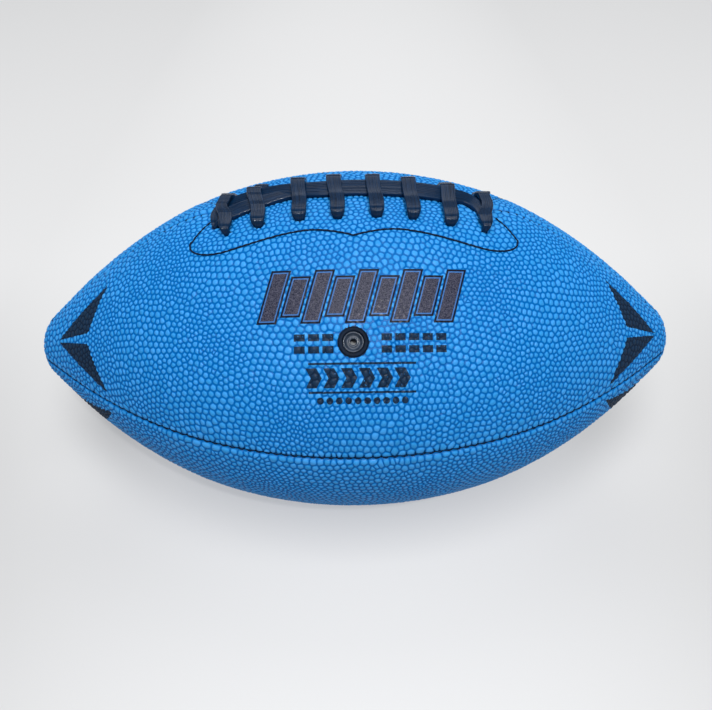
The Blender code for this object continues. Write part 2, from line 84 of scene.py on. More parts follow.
def ball_normal(x, t):
    x, t = np.asarray(x, float), np.asarray(t, float)
    e = np.clip((HALF_LENGTH - np.abs(x)) * 0.5, 0.002, 0.4)
    dx = (on_ball(x + e, t) - on_ball(x - e, t)) / (2 * e)[..., None]
    dt = on_ball(x, t + 0.004) - on_ball(x, t - 0.004)
    n = np.cross(dt, dx)
    size = np.linalg.norm(n, axis=-1, keepdims=True)
    tip = np.zeros_like(n)
    tip[..., 0] = np.sign(x)
    return np.where(size > 1e-9, n / np.maximum(size, 1e-12), tip)


def seam_drop(r):
    return np.minimum(SEAM_DROP * np.minimum(r / 45, 1.0), 0.25 * r)


def angle_at(x, s):
    t = s / R_PANEL
    for _ in range(4):
        t = s / ball_radius(x, t * 0.5)
    return t


def near(x, s, h):
    """Point at x, s along the surface from the top seam, and h above it, in mm."""
    x, s = np.asarray(x, float), np.asarray(s, float)
    t = angle_at(x, s)
    return on_ball(x, t) + ball_normal(x, t) * np.asarray(h, float)[..., None]


# A chart of one panel: length along it and distance across it, unrolled as a cone
# is, so that a pebble keeps its shape from the middle of the ball to its tips.
_w = np.linspace(0, 1, 600)[1:]
TABLE_X = np.concatenate([np.linspace(0, HALF_LENGTH - TIP_ROUND, 1600),
                          HALF_LENGTH - TIP_ROUND + TIP_ROUND * (1 - (1 - _w) ** 3)])
TABLE_R = arc_radius(TABLE_X)
TABLE_U = np.concatenate([[0], np.cumsum(np.hypot(np.diff(TABLE_X), np.diff(TABLE_R)))])
TABLE_S = np.abs(np.gradient(TABLE_R, TABLE_U))
TABLE_S = np.convolve(np.pad(TABLE_S, 12, "edge"), np.ones(25) / 25, "valid")
U_MAX = TABLE_U[-1]


def half_angle(u):
    """Half the angle of a panel, clear of the seam plane, at chart length u."""
    r = np.maximum(np.interp(u, TABLE_U, TABLE_R), 0.4)
    return QUARTER / 2 - np.minimum(0.32 / r, math.radians(22))


def to_chart(u, phi, sign):
    r, s = np.interp(u, TABLE_U, TABLE_R), np.maximum(np.interp(u, TABLE_U, TABLE_S), 1e-3)
    rho, theta = r / s, phi * s
    return np.stack([sign * (u + rho * (1 - np.cos(theta))), rho * np.sin(theta)], -1)


def from_chart(p):
    """(u, phi, sign) of chart points."""
    sign = np.where(p[..., 0] < 0, -1.0, 1.0)
    big, v = np.abs(p[..., 0]), p[..., 1]
    u = np.minimum(big, U_MAX - 0.2)
    for _ in range(24):
        r, s = np.interp(u, TABLE_U, TABLE_R), np.maximum(np.interp(u, TABLE_U, TABLE_S), 1e-3)
        rho = np.maximum(r, 0.15) / s
        theta = np.arcsin(np.clip(v / rho, -0.9999, 0.9999))
        phi = np.clip(theta / s, -1.3, 1.3)
        u = 0.4 * u + 0.6 * np.clip(big - rho * (1 - np.cos(theta)), 0, U_MAX - 0.12)
    return u, phi, sign


# ----------------------------------------------------------------------------
# Where things are on the ball (mm)
# ----------------------------------------------------------------------------
LACE_X = [1.2 + (i - 3.5) * 14.0 for i in range(8)]
LACE_HOLE_S, LACE_HOLE_BACK = 17.6, 14.6
END_HOLE = (-51.6, 11.8)
LEAN = (-0.2, -3.4, -0.7, -1.5, -1.0, -1.7, -0.9, -0.85)     # how far each cross loop leans over the seam
FOOT = (0.7, -1.0, 0.1, 0.1, 0.3, -0.4, -0.6, -1.4)      # and shifts at its front end
REACH = (-0.2, 0.2, 0.2, 0.9, 0.2, -0.4, 0.3, -0.7)      # and how much further its front bend bulges
DROP = (1.0, 0.6, 0.0, 0.1, 0.15, 0.3, 0.7, 1.1)         # how much lower it lies towards the ends of the row
POINTED = (0.85, 0.15, 0.05, 0.12, 0.1, 0.2, 0.1, 0.9)   # and how far it is gathered to a point there
FRONT_HOLES = [(x + FOOT[i], LACE_HOLE_S, 1.85 - 0.75 * POINTED[i]) for i, x in enumerate(LACE_X)]
BACK_HOLES = [(x * (1.03 + 0.03 * (abs(x) > 40)) + 0.25 * max(LEAN[i], -2.0) - 0.6 * (i in (1, 2, 3)), LACE_HOLE_BACK, 1.9) for i, x in enumerate(LACE_X)]
END_PUNCH = (-51.9, 11.8, 1.7)
VALVE_X, VALVE_T = -0.6, math.radians(55.0)
VALVE_BORE = 5.42
PRINT_T = {"front_top": 51, "back_top": -51, "front_bottom": 129, "back_bottom": -129}


def stitch_outline():
    """Outline sewn round the facing behind the laces, as (x, s) in mm."""
    def depth(x):
        a = abs(x)
        if a < 17:
            return 25.1 + 3.6 * (1 - a / 17) ** 1.6
        if a < 47:
            return 25.1 + 2.2 * float(smoothstep(17, 47, a))
        return 18.7 + 8.6 * math.sqrt(max(1 - ((a - 47) / 14.5) ** 2, 0.0))

    right = [(61.5 - 1.0 * i, 18.7 - 1.9 * i ** 0.9) for i in np.arange(7.0, 0.0, -0.5)]
    points = [(-x, s) for x, s in right]
    x = -61.5
    while x < 61.51:
        points.append((x, depth(x)))
        x += 0.5 if abs(x) > 57 else 1.0
    points += [(x, s) for x, s in reversed(right)]
    return np.array(points)


OUTLINE = stitch_outline()


def resample(points, step):
    run = np.concatenate([[0], np.cumsum(np.linalg.norm(np.diff(points, axis=0), axis=1))])
    even = np.linspace(0, run[-1], max(int(round(run[-1] / step)) + 1, 2))
    return np.stack([np.interp(even, run, points[:, k]) for k in range(points.shape[1])], 1), even


def distance_to_line(p, line):
    best = np.full(len(p), 1e9)
    for a, b in zip(line[:-1], line[1:]):
        ab = b - a
        k = np.clip(((p - a) @ ab) / max(ab @ ab, 1e-9), 0, 1)
        best = np.minimum(best, np.linalg.norm(p - a - k[:, None] * ab, axis=1))
    return best


# Printed bars in the middle of the front panel: slanted, tall and short by turns.
BAR_X0, BAR_X1, BAR_Y, BAR_PITCH, BAR_SLANT = -32.4, 37.8, -11.4, 7.8, 0.28


def bar_depth(x, y):
    """How far inside a printed bar a point is, negative outside."""
    xs = x + BAR_SLANT * (y - BAR_Y) - BAR_X0
    cell = np.floor(xs / BAR_PITCH)
    across = BAR_PITCH / 2 - 0.35 - np.abs(xs - (cell + 0.5) * BAR_PITCH)
    tall = 7.9 + 2.6 * (1 - (cell % 2))
    along = tall - np.abs(y - BAR_Y)
    inside = np.minimum(across, along)
    return np.where((xs > 0) & (xs < BAR_X1 - BAR_X0), inside, -1.0)


# ----------------------------------------------------------------------------
# Mesh helpers
# ----------------------------------------------------------------------------
def new_mesh(name, verts_mm, faces, smooth=True):
    """verts_mm are about the ball's centre; the object is left at the origin."""
    mesh = bpy.data.meshes.new(name)
    co = np.asarray(verts_mm, float) * MM
    co[:, 2] += CENTRE_HEIGHT
    mesh.from_pydata(co.tolist(), [], faces)
    mesh.update()
    if smooth:
        mesh.shade_smooth()
    obj = bpy.data.objects.new(name, mesh)
    bpy.context.scene.collection.objects.link(obj)
    return obj


def add_attribute(obj, name, values, kind="FLOAT"):
    att = obj.data.attributes.new(name, kind, "POINT")
    att.data.foreach_set("value" if kind == "FLOAT" else "vector", np.asarray(values, np.float32).ravel())
    return att


def put(obj, mat, slot, *nodes):
    obj.data.materials.clear()
    obj.data.materials.append(mat)
    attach(obj, "root")
    if nodes:
        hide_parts(*nodes)
    return obj


# ----------------------------------------------------------------------------
# Node helpers
# ----------------------------------------------------------------------------
class Nodes:
    def __init__(self, name):
        self.mat = bpy.data.materials.new(name)
        self.mat.use_nodes = True
        self.tree = self.mat.node_tree
        self.tree.nodes.clear()
        self.out = self.tree.nodes.new("ShaderNodeOutputMaterial")
        self.bsdf = self.tree.nodes.new("ShaderNodeBsdfPrincipled")
        self.tree.links.new(self.bsdf.outputs[0], self.out.inputs[0])

    def link(self, a, socket):
        if isinstance(a, (int, float)):
            socket.default_value = a
        elif isinstance(a, (tuple, list)):
            socket.default_value = tuple(a) if len(a) == len(socket.default_value) else (*a, 1.0)
        else:
            self.tree.links.new(a, socket)

    def new(self, kind, **props):
        node = self.tree.nodes.new(kind)
        for k, v in props.items():
            setattr(node, k, v)
        return node

    def math(self, op, a, b=0.0, c=0.0, clamp=False):
        node = self.new("ShaderNodeMath", operation=op, use_clamp=clamp)
        for value, socket in zip((a, b, c), node.inputs):
            self.link(value, socket)
        return node.outputs[0]

    def attribute(self, name, vector=False):
        node = self.new("ShaderNodeAttribute", attribute_name=name)
        return node.outputs["Vector"] if vector else node.outputs["Fac"]

    def separate(self, v):
        node = self.new("ShaderNodeSeparateXYZ")
        self.link(v, node.inputs[0])
        return node.outputs[0], node.outputs[1], node.outputs[2]

    def object_coordinates(self):
        return self.new("ShaderNodeTexCoord").outputs["Object"]

    def scaled(self, v, scale):
        node = self.new("ShaderNodeVectorMath", operation="MULTIPLY")
        self.link(v, node.inputs[0])
        node.inputs[1].default_value = scale if isinstance(scale, tuple) else (scale,) * 3
        return node.outputs[0]

    def noise(self, v, scale, detail=3.0, rough=0.55, distortion=0.0):
        node = self.new("ShaderNodeTexNoise")
        self.link(v, node.inputs["Vector"])
        node.inputs["Scale"].default_value = scale
        node.inputs["Detail"].default_value = detail
        node.inputs["Roughness"].default_value = rough
        node.inputs["Distortion"].default_value = distortion
        return node.outputs["Fac"]

    def ramp(self, a, low, high, to_low=0.0, to_high=1.0, smooth=True):
        node = self.new("ShaderNodeMapRange")
        node.interpolation_type = "SMOOTHSTEP" if smooth else "LINEAR"
        self.link(a, node.inputs["Value"])
        for value, name in ((low, "From Min"), (high, "From Max"), (to_low, "To Min"), (to_high, "To Max")):
            node.inputs[name].default_value = value
        return node.outputs["Result"]

    def mix(self, fac, a, b, blend="MIX"):
        node = self.new("ShaderNodeMix", data_type="RGBA", blend_type=blend)
        self.link(fac, node.inputs[0])
        self.link(a, node.inputs[6])
        self.link(b, node.inputs[7])
        return node.outputs[2]

    def bump(self, height, strength, distance, normal=None):
        node = self.new("ShaderNodeBump")
        node.inputs["Strength"].default_value = strength
        node.inputs["Distance"].default_value = distance
        self.link(height, node.inputs["Height"])
        if normal is not None:
            self.link(normal, node.inputs["Normal"])
        return node.outputs["Normal"]

    def set(self, **sockets):
        names = {"color": "Base Color", "roughness": "Roughness", "normal": "Normal",
                 "specular": "Specular IOR Level", "sheen": "Sheen Weight",
                 "sheen_roughness": "Sheen Roughness", "coat": "Coat Weight", "coat_roughness": "Coat Roughness"}
        for key, value in sockets.items():
            self.link(value, self.bsdf.inputs[names[key]])
        return self.mat


def srgb(r, g, b):
    return tuple(((c / 255) / 12.92 if c / 255 <= 0.04045 else ((c / 255 + 0.055) / 1.055) ** 2.4) for c in (r, g, b))


# ----------------------------------------------------------------------------
# Materials
# ----------------------------------------------------------------------------
GROOVE_SHADE_BLUE = (0.0, 0.125, 0.43)
INK = srgb(20, 37, 60)


def cover_material(name, centre_print):
    m = Nodes(name)
    where = m.object_coordinates()
    rise = m.attribute("rise")
    tone = m.attribute("tone")
    skin = m.attribute("skin")
    x, y, _ = m.separate(m.attribute("print", vector=True))

    # Pebbles: lighter tops over grooves painted darker as painted shade, darker still along the groove bottoms; each
    # pebble a little different.
    cloud = m.noise(where, 30.0, 3.0)
    fine = m.noise(where, 1500.0, 4.0, 0.6)
    top = m.mix(m.ramp(tone, 0.0, 1.0), (0.022, 0.260, 0.65), (0.048, 0.315, 0.77))
    top = m.mix(m.ramp(cloud, 0.35, 0.65, 0.0, 0.35), top, (0.028, 0.29, 0.72))
    top = m.mix(m.ramp(fine, 0.35, 0.7, 0.0, 0.22), top, (0.085, 0.37, 0.82))
    blue = m.mix(m.ramp(rise, 0.30, 0.86), GROOVE_SHADE_BLUE, top)
    blue = m.mix(m.ramp(rise, 0.0, 0.20, 0.45, 0.0), blue, (0.0, 0.07, 0.29))

    # The inside of the cover and the cut edges of its holes are bare backing.
    blue = m.mix(skin, srgb(36, 44, 56), blue)

    # Two dark leaves near each end, meeting at a point.
    ax = m.math("ABSOLUTE", m.math("SUBTRACT", x, 1.3))
    ay = m.math("ABSOLUTE", y)
    corners = ((122.6, 0.45), (106.5, 2.1), (98.4, 21.9))
    inside = None
    for i in range(3):
        (px, py), (qx, qy), (ox, oy) = corners[i], corners[(i + 1) % 3], corners[(i + 2) % 3]
        nx, ny = qy - py, px - qx
        size = math.hypot(nx, ny)
        nx, ny = nx / size, ny / size
        if (ox - px) * nx + (oy - py) * ny < 0:
            nx, ny = -nx, -ny
        edge = m.math("ADD", m.math("MULTIPLY_ADD", ax, nx, -(px * nx + py * ny)), m.math("MULTIPLY", ay, ny))
        inside = edge if inside is None else m.math("MINIMUM", inside, edge)
    ragged = m.math("MULTIPLY", m.math("SUBTRACT", m.noise(where, 900.0, 2.0), 0.5), 0.35)
    leaf = m.ramp(m.math("ADD", inside, ragged), -0.06, 0.1)
    ink = leaf
    # Ink, with painted shade: darker down in the grooves, lighter on the pebble tops.
    ink_and_groove_shade = m.mix(m.ramp(rise, 0.1, 0.8), srgb(15, 33, 55), srgb(28, 49, 73))
    outline = None

    if centre_print:
        def band(a, half, soft=0.07):
            """1 where |a| < half."""
            return m.ramp(m.math("ABSOLUTE", a), half - soft, half + soft, 1.0, 0.0)

        def between(a, low, high, soft=0.07):
            return band(m.math("SUBTRACT", a, (low + high) / 2), (high - low) / 2, soft)

        # Slanted bars, tall and short by turns, speckled inside a thin blue line.
        xs = m.math("SUBTRACT", m.math("MULTIPLY_ADD", m.math("SUBTRACT", y, BAR_Y), BAR_SLANT, x), BAR_X0)
        cell = m.math("FLOOR", m.math("DIVIDE", xs, BAR_PITCH))
        offset = m.math("SUBTRACT", xs, m.math("MULTIPLY", m.math("ADD", cell, 0.5), BAR_PITCH))
        across = m.math("SUBTRACT", BAR_PITCH / 2 - 0.35, m.math("ABSOLUTE", offset))
        even = m.math("SUBTRACT", 1.0, m.math("ABSOLUTE", m.math("MODULO", cell, 2.0)))
        tall = m.math("MULTIPLY_ADD", even, 2.3, 7.4)
        along = m.math("SUBTRACT", tall, m.math("ABSOLUTE", m.math("SUBTRACT", y, BAR_Y)))
        depth = m.math("MINIMUM", across, along)
        row = between(xs, 0.0, BAR_X1 - BAR_X0)
        bars = m.math("MULTIPLY", row, m.ramp(depth, -0.07, 0.07))
        line = m.math("MULTIPLY", bars, between(depth, 0.75, 1.15, 0.09))
        speckle = m.noise(where, 2600.0, 2.0, 0.7)
        fill = m.mix(m.ramp(speckle, 0.36, 0.66), srgb(30, 34, 50), srgb(80, 80, 97))
        fill = m.mix(m.ramp(depth, 0.7, 1.2), srgb(20, 24, 38), fill)
        bar_color = m.mix(line, fill, srgb(62, 112, 178))

        # Short dashes to each side of the valve.
        def dashes(x0, x1, rows, pitch, length, height):
            mark = None
            step = m.math("SUBTRACT", x, x0)
            part = m.math("SUBTRACT", step, m.math("MULTIPLY", m.math("FLOOR", m.math("DIVIDE", step, pitch)), pitch))
            dash = between(part, 0.0, length)
            for yy in rows:
                one = m.math("MULTIPLY", dash, band(m.math("SUBTRACT", y, yy), height))
                mark = one if mark is None else m.math("MAXIMUM", mark, one)
            return m.math("MULTIPLY", mark, between(step, -0.1, x1 - x0))

        marks = m.math("MAXIMUM", dashes(-21.4, -6.9, (3.2, 7.4), 5.0, 3.9, 1.25),
                       dashes(9.2, 32.3, (3.2, 7.4), 4.8, 3.7, 1.25))
        # Chevrons between two thin lines.
        fold = m.math("ABSOLUTE", m.math("SUBTRACT", y, 17.1))
        step = m.math("ADD", m.math("MULTIPLY_ADD", fold, 0.55, x), 15.6)
        part = m.math("SUBTRACT", step, m.math("MULTIPLY", m.math("FLOOR", m.math("DIVIDE", step, 6.2)), 6.2))
        chevron = m.math("MULTIPLY", between(part, 0.0, 3.9), band(m.math("SUBTRACT", y, 17.1), 3.4))
        chevron = m.math("MULTIPLY", chevron, between(step, -0.1, 37.1))
        rules = m.math("MULTIPLY", band(m.math("SUBTRACT", fold, 4.9), 0.38), between(x, -16.4, 21.2))
        marks = m.math("MAXIMUM", marks, m.math("MAXIMUM", chevron, rules))
        # A row of dots below them.
        step = m.math("ADD", x, 14.0)
        part = m.math("SUBTRACT", step, m.math("MULTIPLY", m.math("ADD", m.math("FLOOR", m.math("DIVIDE", step, 3.3)), 0.5), 3.3))
        far = m.math("SQRT", m.math("ADD", m.math("POWER", part, 2.0), m.math("POWER", m.math("SUBTRACT", y, 24.9), 2.0)))
        dots = m.math("MULTIPLY", m.ramp(far, 1.12, 1.28, 1.0, 0.0), between(x, -14.0, 18.9))
        marks = m.math("MAXIMUM", marks, dots)
        rough_edge = m.ramp(m.noise(where, 1500.0, 2.0), 0.22, 0.36)
        marks = m.math("MULTIPLY", marks, rough_edge)
        ink = m.math("MAXIMUM", ink, marks)
        outline = (bars, bar_color)

    ink = m.math("MULTIPLY", ink, skin)
    color = m.mix(ink, blue, ink_and_groove_shade)
    dull = ink
    if outline:
        bars = m.math("MULTIPLY", outline[0], skin)
        color = m.mix(bars, color, outline[1])
        dull = m.math("MAXIMUM", ink, bars)

    rough = m.ramp(fine, 0.3, 0.7, 0.36, 0.5)
    rough = m.math("ADD", rough, m.math("MULTIPLY", dull, 0.12))
    rough = m.math("ADD", rough, m.ramp(rise, 0.0, 0.6, 0.16, 0.0))
    grain = m.noise(where, 2200.0, 3.0, 0.65)
    crease = m.noise(where, 700.0, 4.0, 0.6, 0.6)
    height = m.math("MULTIPLY_ADD", crease, 0.6, m.math("MULTIPLY", grain, 0.4))
    normal = m.bump(height, 0.32, 0.00012)
    return m.set(color=color, roughness=rough, normal=normal, specular=0.02, coat=0.11, coat_roughness=0.2)


def lace_material(name):
    m = Nodes(name)
    where = m.attribute("strip", vector=True)      # across (mm), along (mm), 0
    u, v, _ = m.separate(where)
    streaks = m.noise(m.scaled(where, (2.6, 0.06, 1.0)), 1.0, 4.0, 0.6)
    fibre = m.noise(m.scaled(where, (9.0, 0.35, 1.0)), 1.0, 3.0, 0.6)
    spots = m.noise(m.object_coordinates(), 260.0, 3.0)
    color = m.mix(m.ramp(streaks, 0.32, 0.68), srgb(4, 24, 46), srgb(12, 40, 70))
    color = m.mix(m.ramp(spots, 0.5, 0.75, 0.0, 0.3), color, srgb(18, 46, 78))
    # Painted highlight: the strip is lighter along its rounded edges.
    edge = m.ramp(m.math("ABSOLUTE", u), 2.1, 2.75)
    color = m.mix(m.math("MULTIPLY", edge, 0.3), color, srgb(28, 52, 82))
    rough = m.ramp(fibre, 0.3, 0.7, 0.12, 0.19)
    height = m.math("MULTIPLY_ADD", streaks, 0.5, m.math("MULTIPLY", fibre, 0.5))
    return m.set(color=color, roughness=rough, normal=m.bump(height, 0.6, 0.00018), specular=0.02,
                 coat=0.3, coat_roughness=0.12)


def thread_material(name, light=srgb(24, 38, 62), dark=srgb(8, 14, 28)):
    m = Nodes(name)
    where = m.attribute("strip", vector=True)      # around (turns), along (mm)
    u, v, _ = m.separate(where)
    twist = m.math("SINE", m.math("MULTIPLY", m.math("MULTIPLY_ADD", v, 1.3, m.math("MULTIPLY", u, 2.0)), 2 * math.pi))
    fibre = m.noise(m.scaled(where, (6.0, 14.0, 1.0)), 1.0, 2.0)
    # Painted shade: darker in the valleys between the twisted plies.
    color = m.mix(m.ramp(twist, -0.9, 0.7), dark, light)
    color = m.mix(m.ramp(fibre, 0.5, 0.8, 0.0, 0.5), color, srgb(44, 60, 84))
    height = m.math("MULTIPLY_ADD", twist, 0.5, fibre)
    return m.set(color=color, roughness=0.72, normal=m.bump(height, 0.6, 0.00012), specular=0.08)


def rubber_material(name, dark, light, rough_low, rough_high, scale=900.0, bump=0.25, specular=0.5, dusty=0.3):
    m = Nodes(name)
    where = m.object_coordinates()
    fine = m.noise(where, scale, 4.0, 0.65)
    cloud = m.noise(where, scale / 12, 3.0)
    mottle = m.math("MULTIPLY_ADD", cloud, 0.5, m.math("MULTIPLY", fine, 0.5))
    dust = m.noise(where, scale * 2.3, 2.0, 0.5)
    color = m.mix(m.ramp(mottle, 0.36, 0.64), dark, light)
    color = m.mix(m.ramp(dust, 0.66, 0.8, 0.0, dusty), color, srgb(96, 100, 108))
    return m.set(color=color, roughness=m.ramp(fine, 0.3, 0.7, rough_low, rough_high),
                 normal=m.bump(fine, bump, 0.00015), specular=specular)


def woven_material(name, warp, weft, gap, pitch, rough=0.88):
    """Plain weave: over and under, along the object's own axes."""
    m = Nodes(name)
    where = m.object_coordinates()
    x, y, z = m.separate(where)
    wobble = m.math("MULTIPLY", m.math("SUBTRACT", m.noise(where, 300.0, 2.0), 0.5), 0.0006)
    around = m.math("MULTIPLY", m.math("ARCTAN2", y, m.math("SUBTRACT", z, CENTRE_HEIGHT)), 0.07)
    a = m.math("MULTIPLY", m.math("ADD", x, wobble), 2 * math.pi / pitch)
    b = m.math("MULTIPLY", m.math("ADD", around, wobble), 2 * math.pi / pitch)
    over = m.math("MULTIPLY", m.math("SINE", a), m.math("SINE", b))
    threads = m.math("MAXIMUM", m.math("ABSOLUTE", m.math("SINE", a)), m.math("ABSOLUTE", m.math("SINE", b)))
    fibre = m.noise(where, 4200.0, 3.0, 0.7)
    color = m.mix(m.ramp(over, -0.25, 0.25), warp, weft)
    # Painted shade: darker in the gaps between the threads.
    color = m.mix(m.ramp(threads, 0.15, 0.6, 1.0, 0.0), color, gap)
    color = m.mix(m.ramp(fibre, 0.45, 0.75, 0.0, 0.4), color, tuple(min(c * 1.5 + 0.02, 1) for c in weft))
    height = m.math("ADD", m.math("MULTIPLY", threads, 0.7), m.math("MULTIPLY", fibre, 0.3))
    return m.set(color=color, roughness=rough, normal=m.bump(height, 0.7, 0.0003), sheen=0.25)


def felt_material(name):
    m = Nodes(name)
    where = m.object_coordinates()
    hair = m.noise(where, 900.0, 6.0, 0.75, 1.6)
    lump = m.noise(where, 110.0, 3.0)
    color = m.mix(m.ramp(hair, 0.35, 0.65), srgb(96, 98, 104), srgb(156, 158, 164))
    color = m.mix(m.ramp(lump, 0.3, 0.7, 0.0, 0.4), color, srgb(128, 128, 132))
    return m.set(color=color, roughness=0.95, normal=m.bump(hair, 0.8, 0.0005), sheen=0.5)


MAT_COVER_PRINT = cover_material("cover_blue_printed", True)
MAT_COVER = cover_material("cover_blue", False)
MAT_LACE = lace_material("lace_navy")
MAT_THREAD = thread_material("seam_thread")
MAT_STITCH = thread_material("facing_thread", srgb(22, 36, 60), srgb(6, 11, 24))
MAT_HOUSING = rubber_material("valve_housing_rubber", srgb(10, 18, 30), srgb(22, 34, 52), 0.5, 0.66,
                              specular=0.06, dusty=0.12)
MAT_PLUG = rubber_material("valve_plug_rubber", srgb(32, 42, 56), srgb(58, 70, 88), 0.16, 0.26, 700.0, 0.10, 0.35, 0.1)
MAT_BLADDER = rubber_material("bladder_rubber", srgb(30, 30, 33), srgb(52, 52, 56), 0.5, 0.66, 300.0)
MAT_PATCH = rubber_material("patch_rubber", srgb(66, 66, 70), srgb(98, 98, 104), 0.6, 0.75, 500.0)
MAT_LINING = woven_material("lining_canvas", srgb(206, 198, 176), srgb(226, 220, 202), srgb(128, 120, 100), 0.0011)
MAT_FACING = woven_material("facing_fabric", srgb(66, 70, 78), srgb(88, 92, 100), srgb(26, 28, 34), 0.0009)
MAT_FELT = felt_material("shield_felt")

for node, mat in (("bladder", MAT_BLADDER), ("valve_base", MAT_PATCH), ("bladder_shield", MAT_FELT),
                  ("lace_facing_front", MAT_FACING), ("lace_facing_back", MAT_FACING),
                  ("valve_hole_facing", MAT_FACING), ("lining_front_top", MAT_LINING),
                  ("lining_back_top", MAT_LINING), ("lining_front_bottom", MAT_LINING),
                  ("lining_back_bottom", MAT_LINING)):
    NODES[node].data.materials.clear()
    NODES[node].data.materials.append(mat)

# ----------------------------------------------------------------------------
# Cover panels, pebble by pebble
# ----------------------------------------------------------------------------
SPACING = 2.38
CREASE_W = 1.6


def hexagonal_points(rng):
    """Rows of points that wander, with each point a little out of line."""
    rows = []
    y, k = -62.0, 0
    while y < 62.0:
        edge = float(smoothstep(36, 50, abs(y)))
        step = SPACING * (1 + 0.02 * edge)
        x = np.arange(-U_MAX - 4 + (k % 2) * step / 2, U_MAX + 4, step)
        rows.append(np.stack([x, np.full_like(x, y)], 1))
        y += SPACING * 0.866 * (1 + 0.14 * edge)
        k += 1
    p = np.concatenate(rows)
    a = rng.uniform(0, 6.28, 6)
    p = p + 2.2 * np.stack([np.sin(p[:, 0] / 21 + p[:, 1] / 15 + a[0]) + 0.6 * np.sin(p[:, 0] / 9 - p[:, 1] / 12 + a[1]),
                            np.sin(p[:, 0] / 17 - p[:, 1] / 23 + a[2]) + 0.6 * np.sin(p[:, 0] / 11 + p[:, 1] / 8 + a[3])], 1)
    return p + rng.normal(0, 0.21 * SPACING, p.shape)


def edge_distance(u, phi):
    r = np.maximum(np.interp(u, TABLE_U, TABLE_R), 0.15)
    return r * (half_angle(u) - np.abs(phi))


def with_mirrors(p):
    """The points, then their reflections in the panel's edges and past its tips."""
    u, phi, sign = from_chart(p)
    near_edge = edge_distance(u, phi) < 3.4
    over = 2 * half_angle(u[near_edge]) - np.abs(phi[near_edge])
    ghosts = [to_chart(u[near_edge], np.sign(phi[near_edge]) * over, sign[near_edge])]
    near_tip = u > U_MAX - 3.6
    tip = p[near_tip].copy()
    tip[:, 0] = np.sign(tip[:, 0]) * (2 * U_MAX - 0.6) - tip[:, 0]
    ghosts.append(tip)
    far = np.array([(-400.0, -300.0), (400.0, -300.0), (400.0, 300.0), (-400.0, 300.0)])
    return np.concatenate([p] + ghosts + [far])


def triangulate(p):
    tris = delaunay_2d_cdt([Vector(q) for q in p.tolist()], [], [], 0, 1e-6)[2]
    return np.array([list(t) for t in tris], int)


def relax(p, rounds):
    for _ in range(rounds):
        every = with_mirrors(p)
        tris = triangulate(every)
        total, count = np.zeros_like(every), np.zeros(len(every))
        for a, b in ((0, 1), (1, 2), (2, 0)):
            np.add.at(total, tris[:, a], every[tris[:, b]])
            np.add.at(total, tris[:, b], every[tris[:, a]])
            np.add.at(count, tris[:, a], 1)
            np.add.at(count, tris[:, b], 1)
        mean = total / np.maximum(count, 1)[:, None]
        p = p + 0.42 * (mean[:len(p)] - p)
        u, phi, _ = from_chart(p)
        p = p[(edge_distance(u, phi) > 0.34 * SPACING) & (u < U_MAX - 0.8)]
    return p


def circumcentres(p, tris):
    a, b, c = p[tris[:, 0]], p[tris[:, 1]], p[tris[:, 2]]
    ab, ac = b - a, c - a
    d = 2 * (ab[:, 0] * ac[:, 1] - ab[:, 1] * ac[:, 0])
    d = np.where(np.abs(d) < 1e-9, 1e-9, d)
    l1, l2 = (ab ** 2).sum(1), (ac ** 2).sum(1)
    return a + np.stack([(ac[:, 1] * l1 - ab[:, 1] * l2) / d, (ab[:, 0] * l2 - ac[:, 0] * l1) / d], 1)


def cells_of(p):
    """Voronoi cells of the points: shared corners, and each cell's ring of corners."""
    every = with_mirrors(p)
    tris = triangulate(every)
    centres = circumcentres(every, tris)
    # Corners that nearly coincide become one.
    group = list(range(len(tris)))

    def find(i):
        while group[i] != i:
            group[i] = group[group[i]]
            i = group[i]
        return i

    by_edge = {}
    for i, t in enumerate(tris.tolist()):
        for a, b in ((t[0], t[1]), (t[1], t[2]), (t[2], t[0])):
            other = by_edge.setdefault((min(a, b), max(a, b)), i)
            if other != i and np.abs(centres[i] - centres[other]).sum() < 0.34:
                group[find(i)] = find(other)
    root = np.array([find(i) for i in range(len(tris))])
    keys, index = np.unique(root, return_inverse=True)
    corners = np.zeros((len(keys), 2))
    count = np.bincount(index)
    for k in (0, 1):
        corners[:, k] = np.bincount(index, centres[:, k]) / count
    around = [[] for _ in range(len(p))]
    for i, t in enumerate(tris.tolist()):
        for a in t:
            if a < len(p):
                around[a].append(i)
    rings = []
    for a, members in enumerate(around):
        ids = sorted({int(index[i]) for i in members})
        d = corners[ids] - p[a]
        ids = [ids[k] for k in np.argsort(np.arctan2(d[:, 1], d[:, 0]))]
        if len(ids) >= 3:
            rings.append(ids)
    return corners, rings


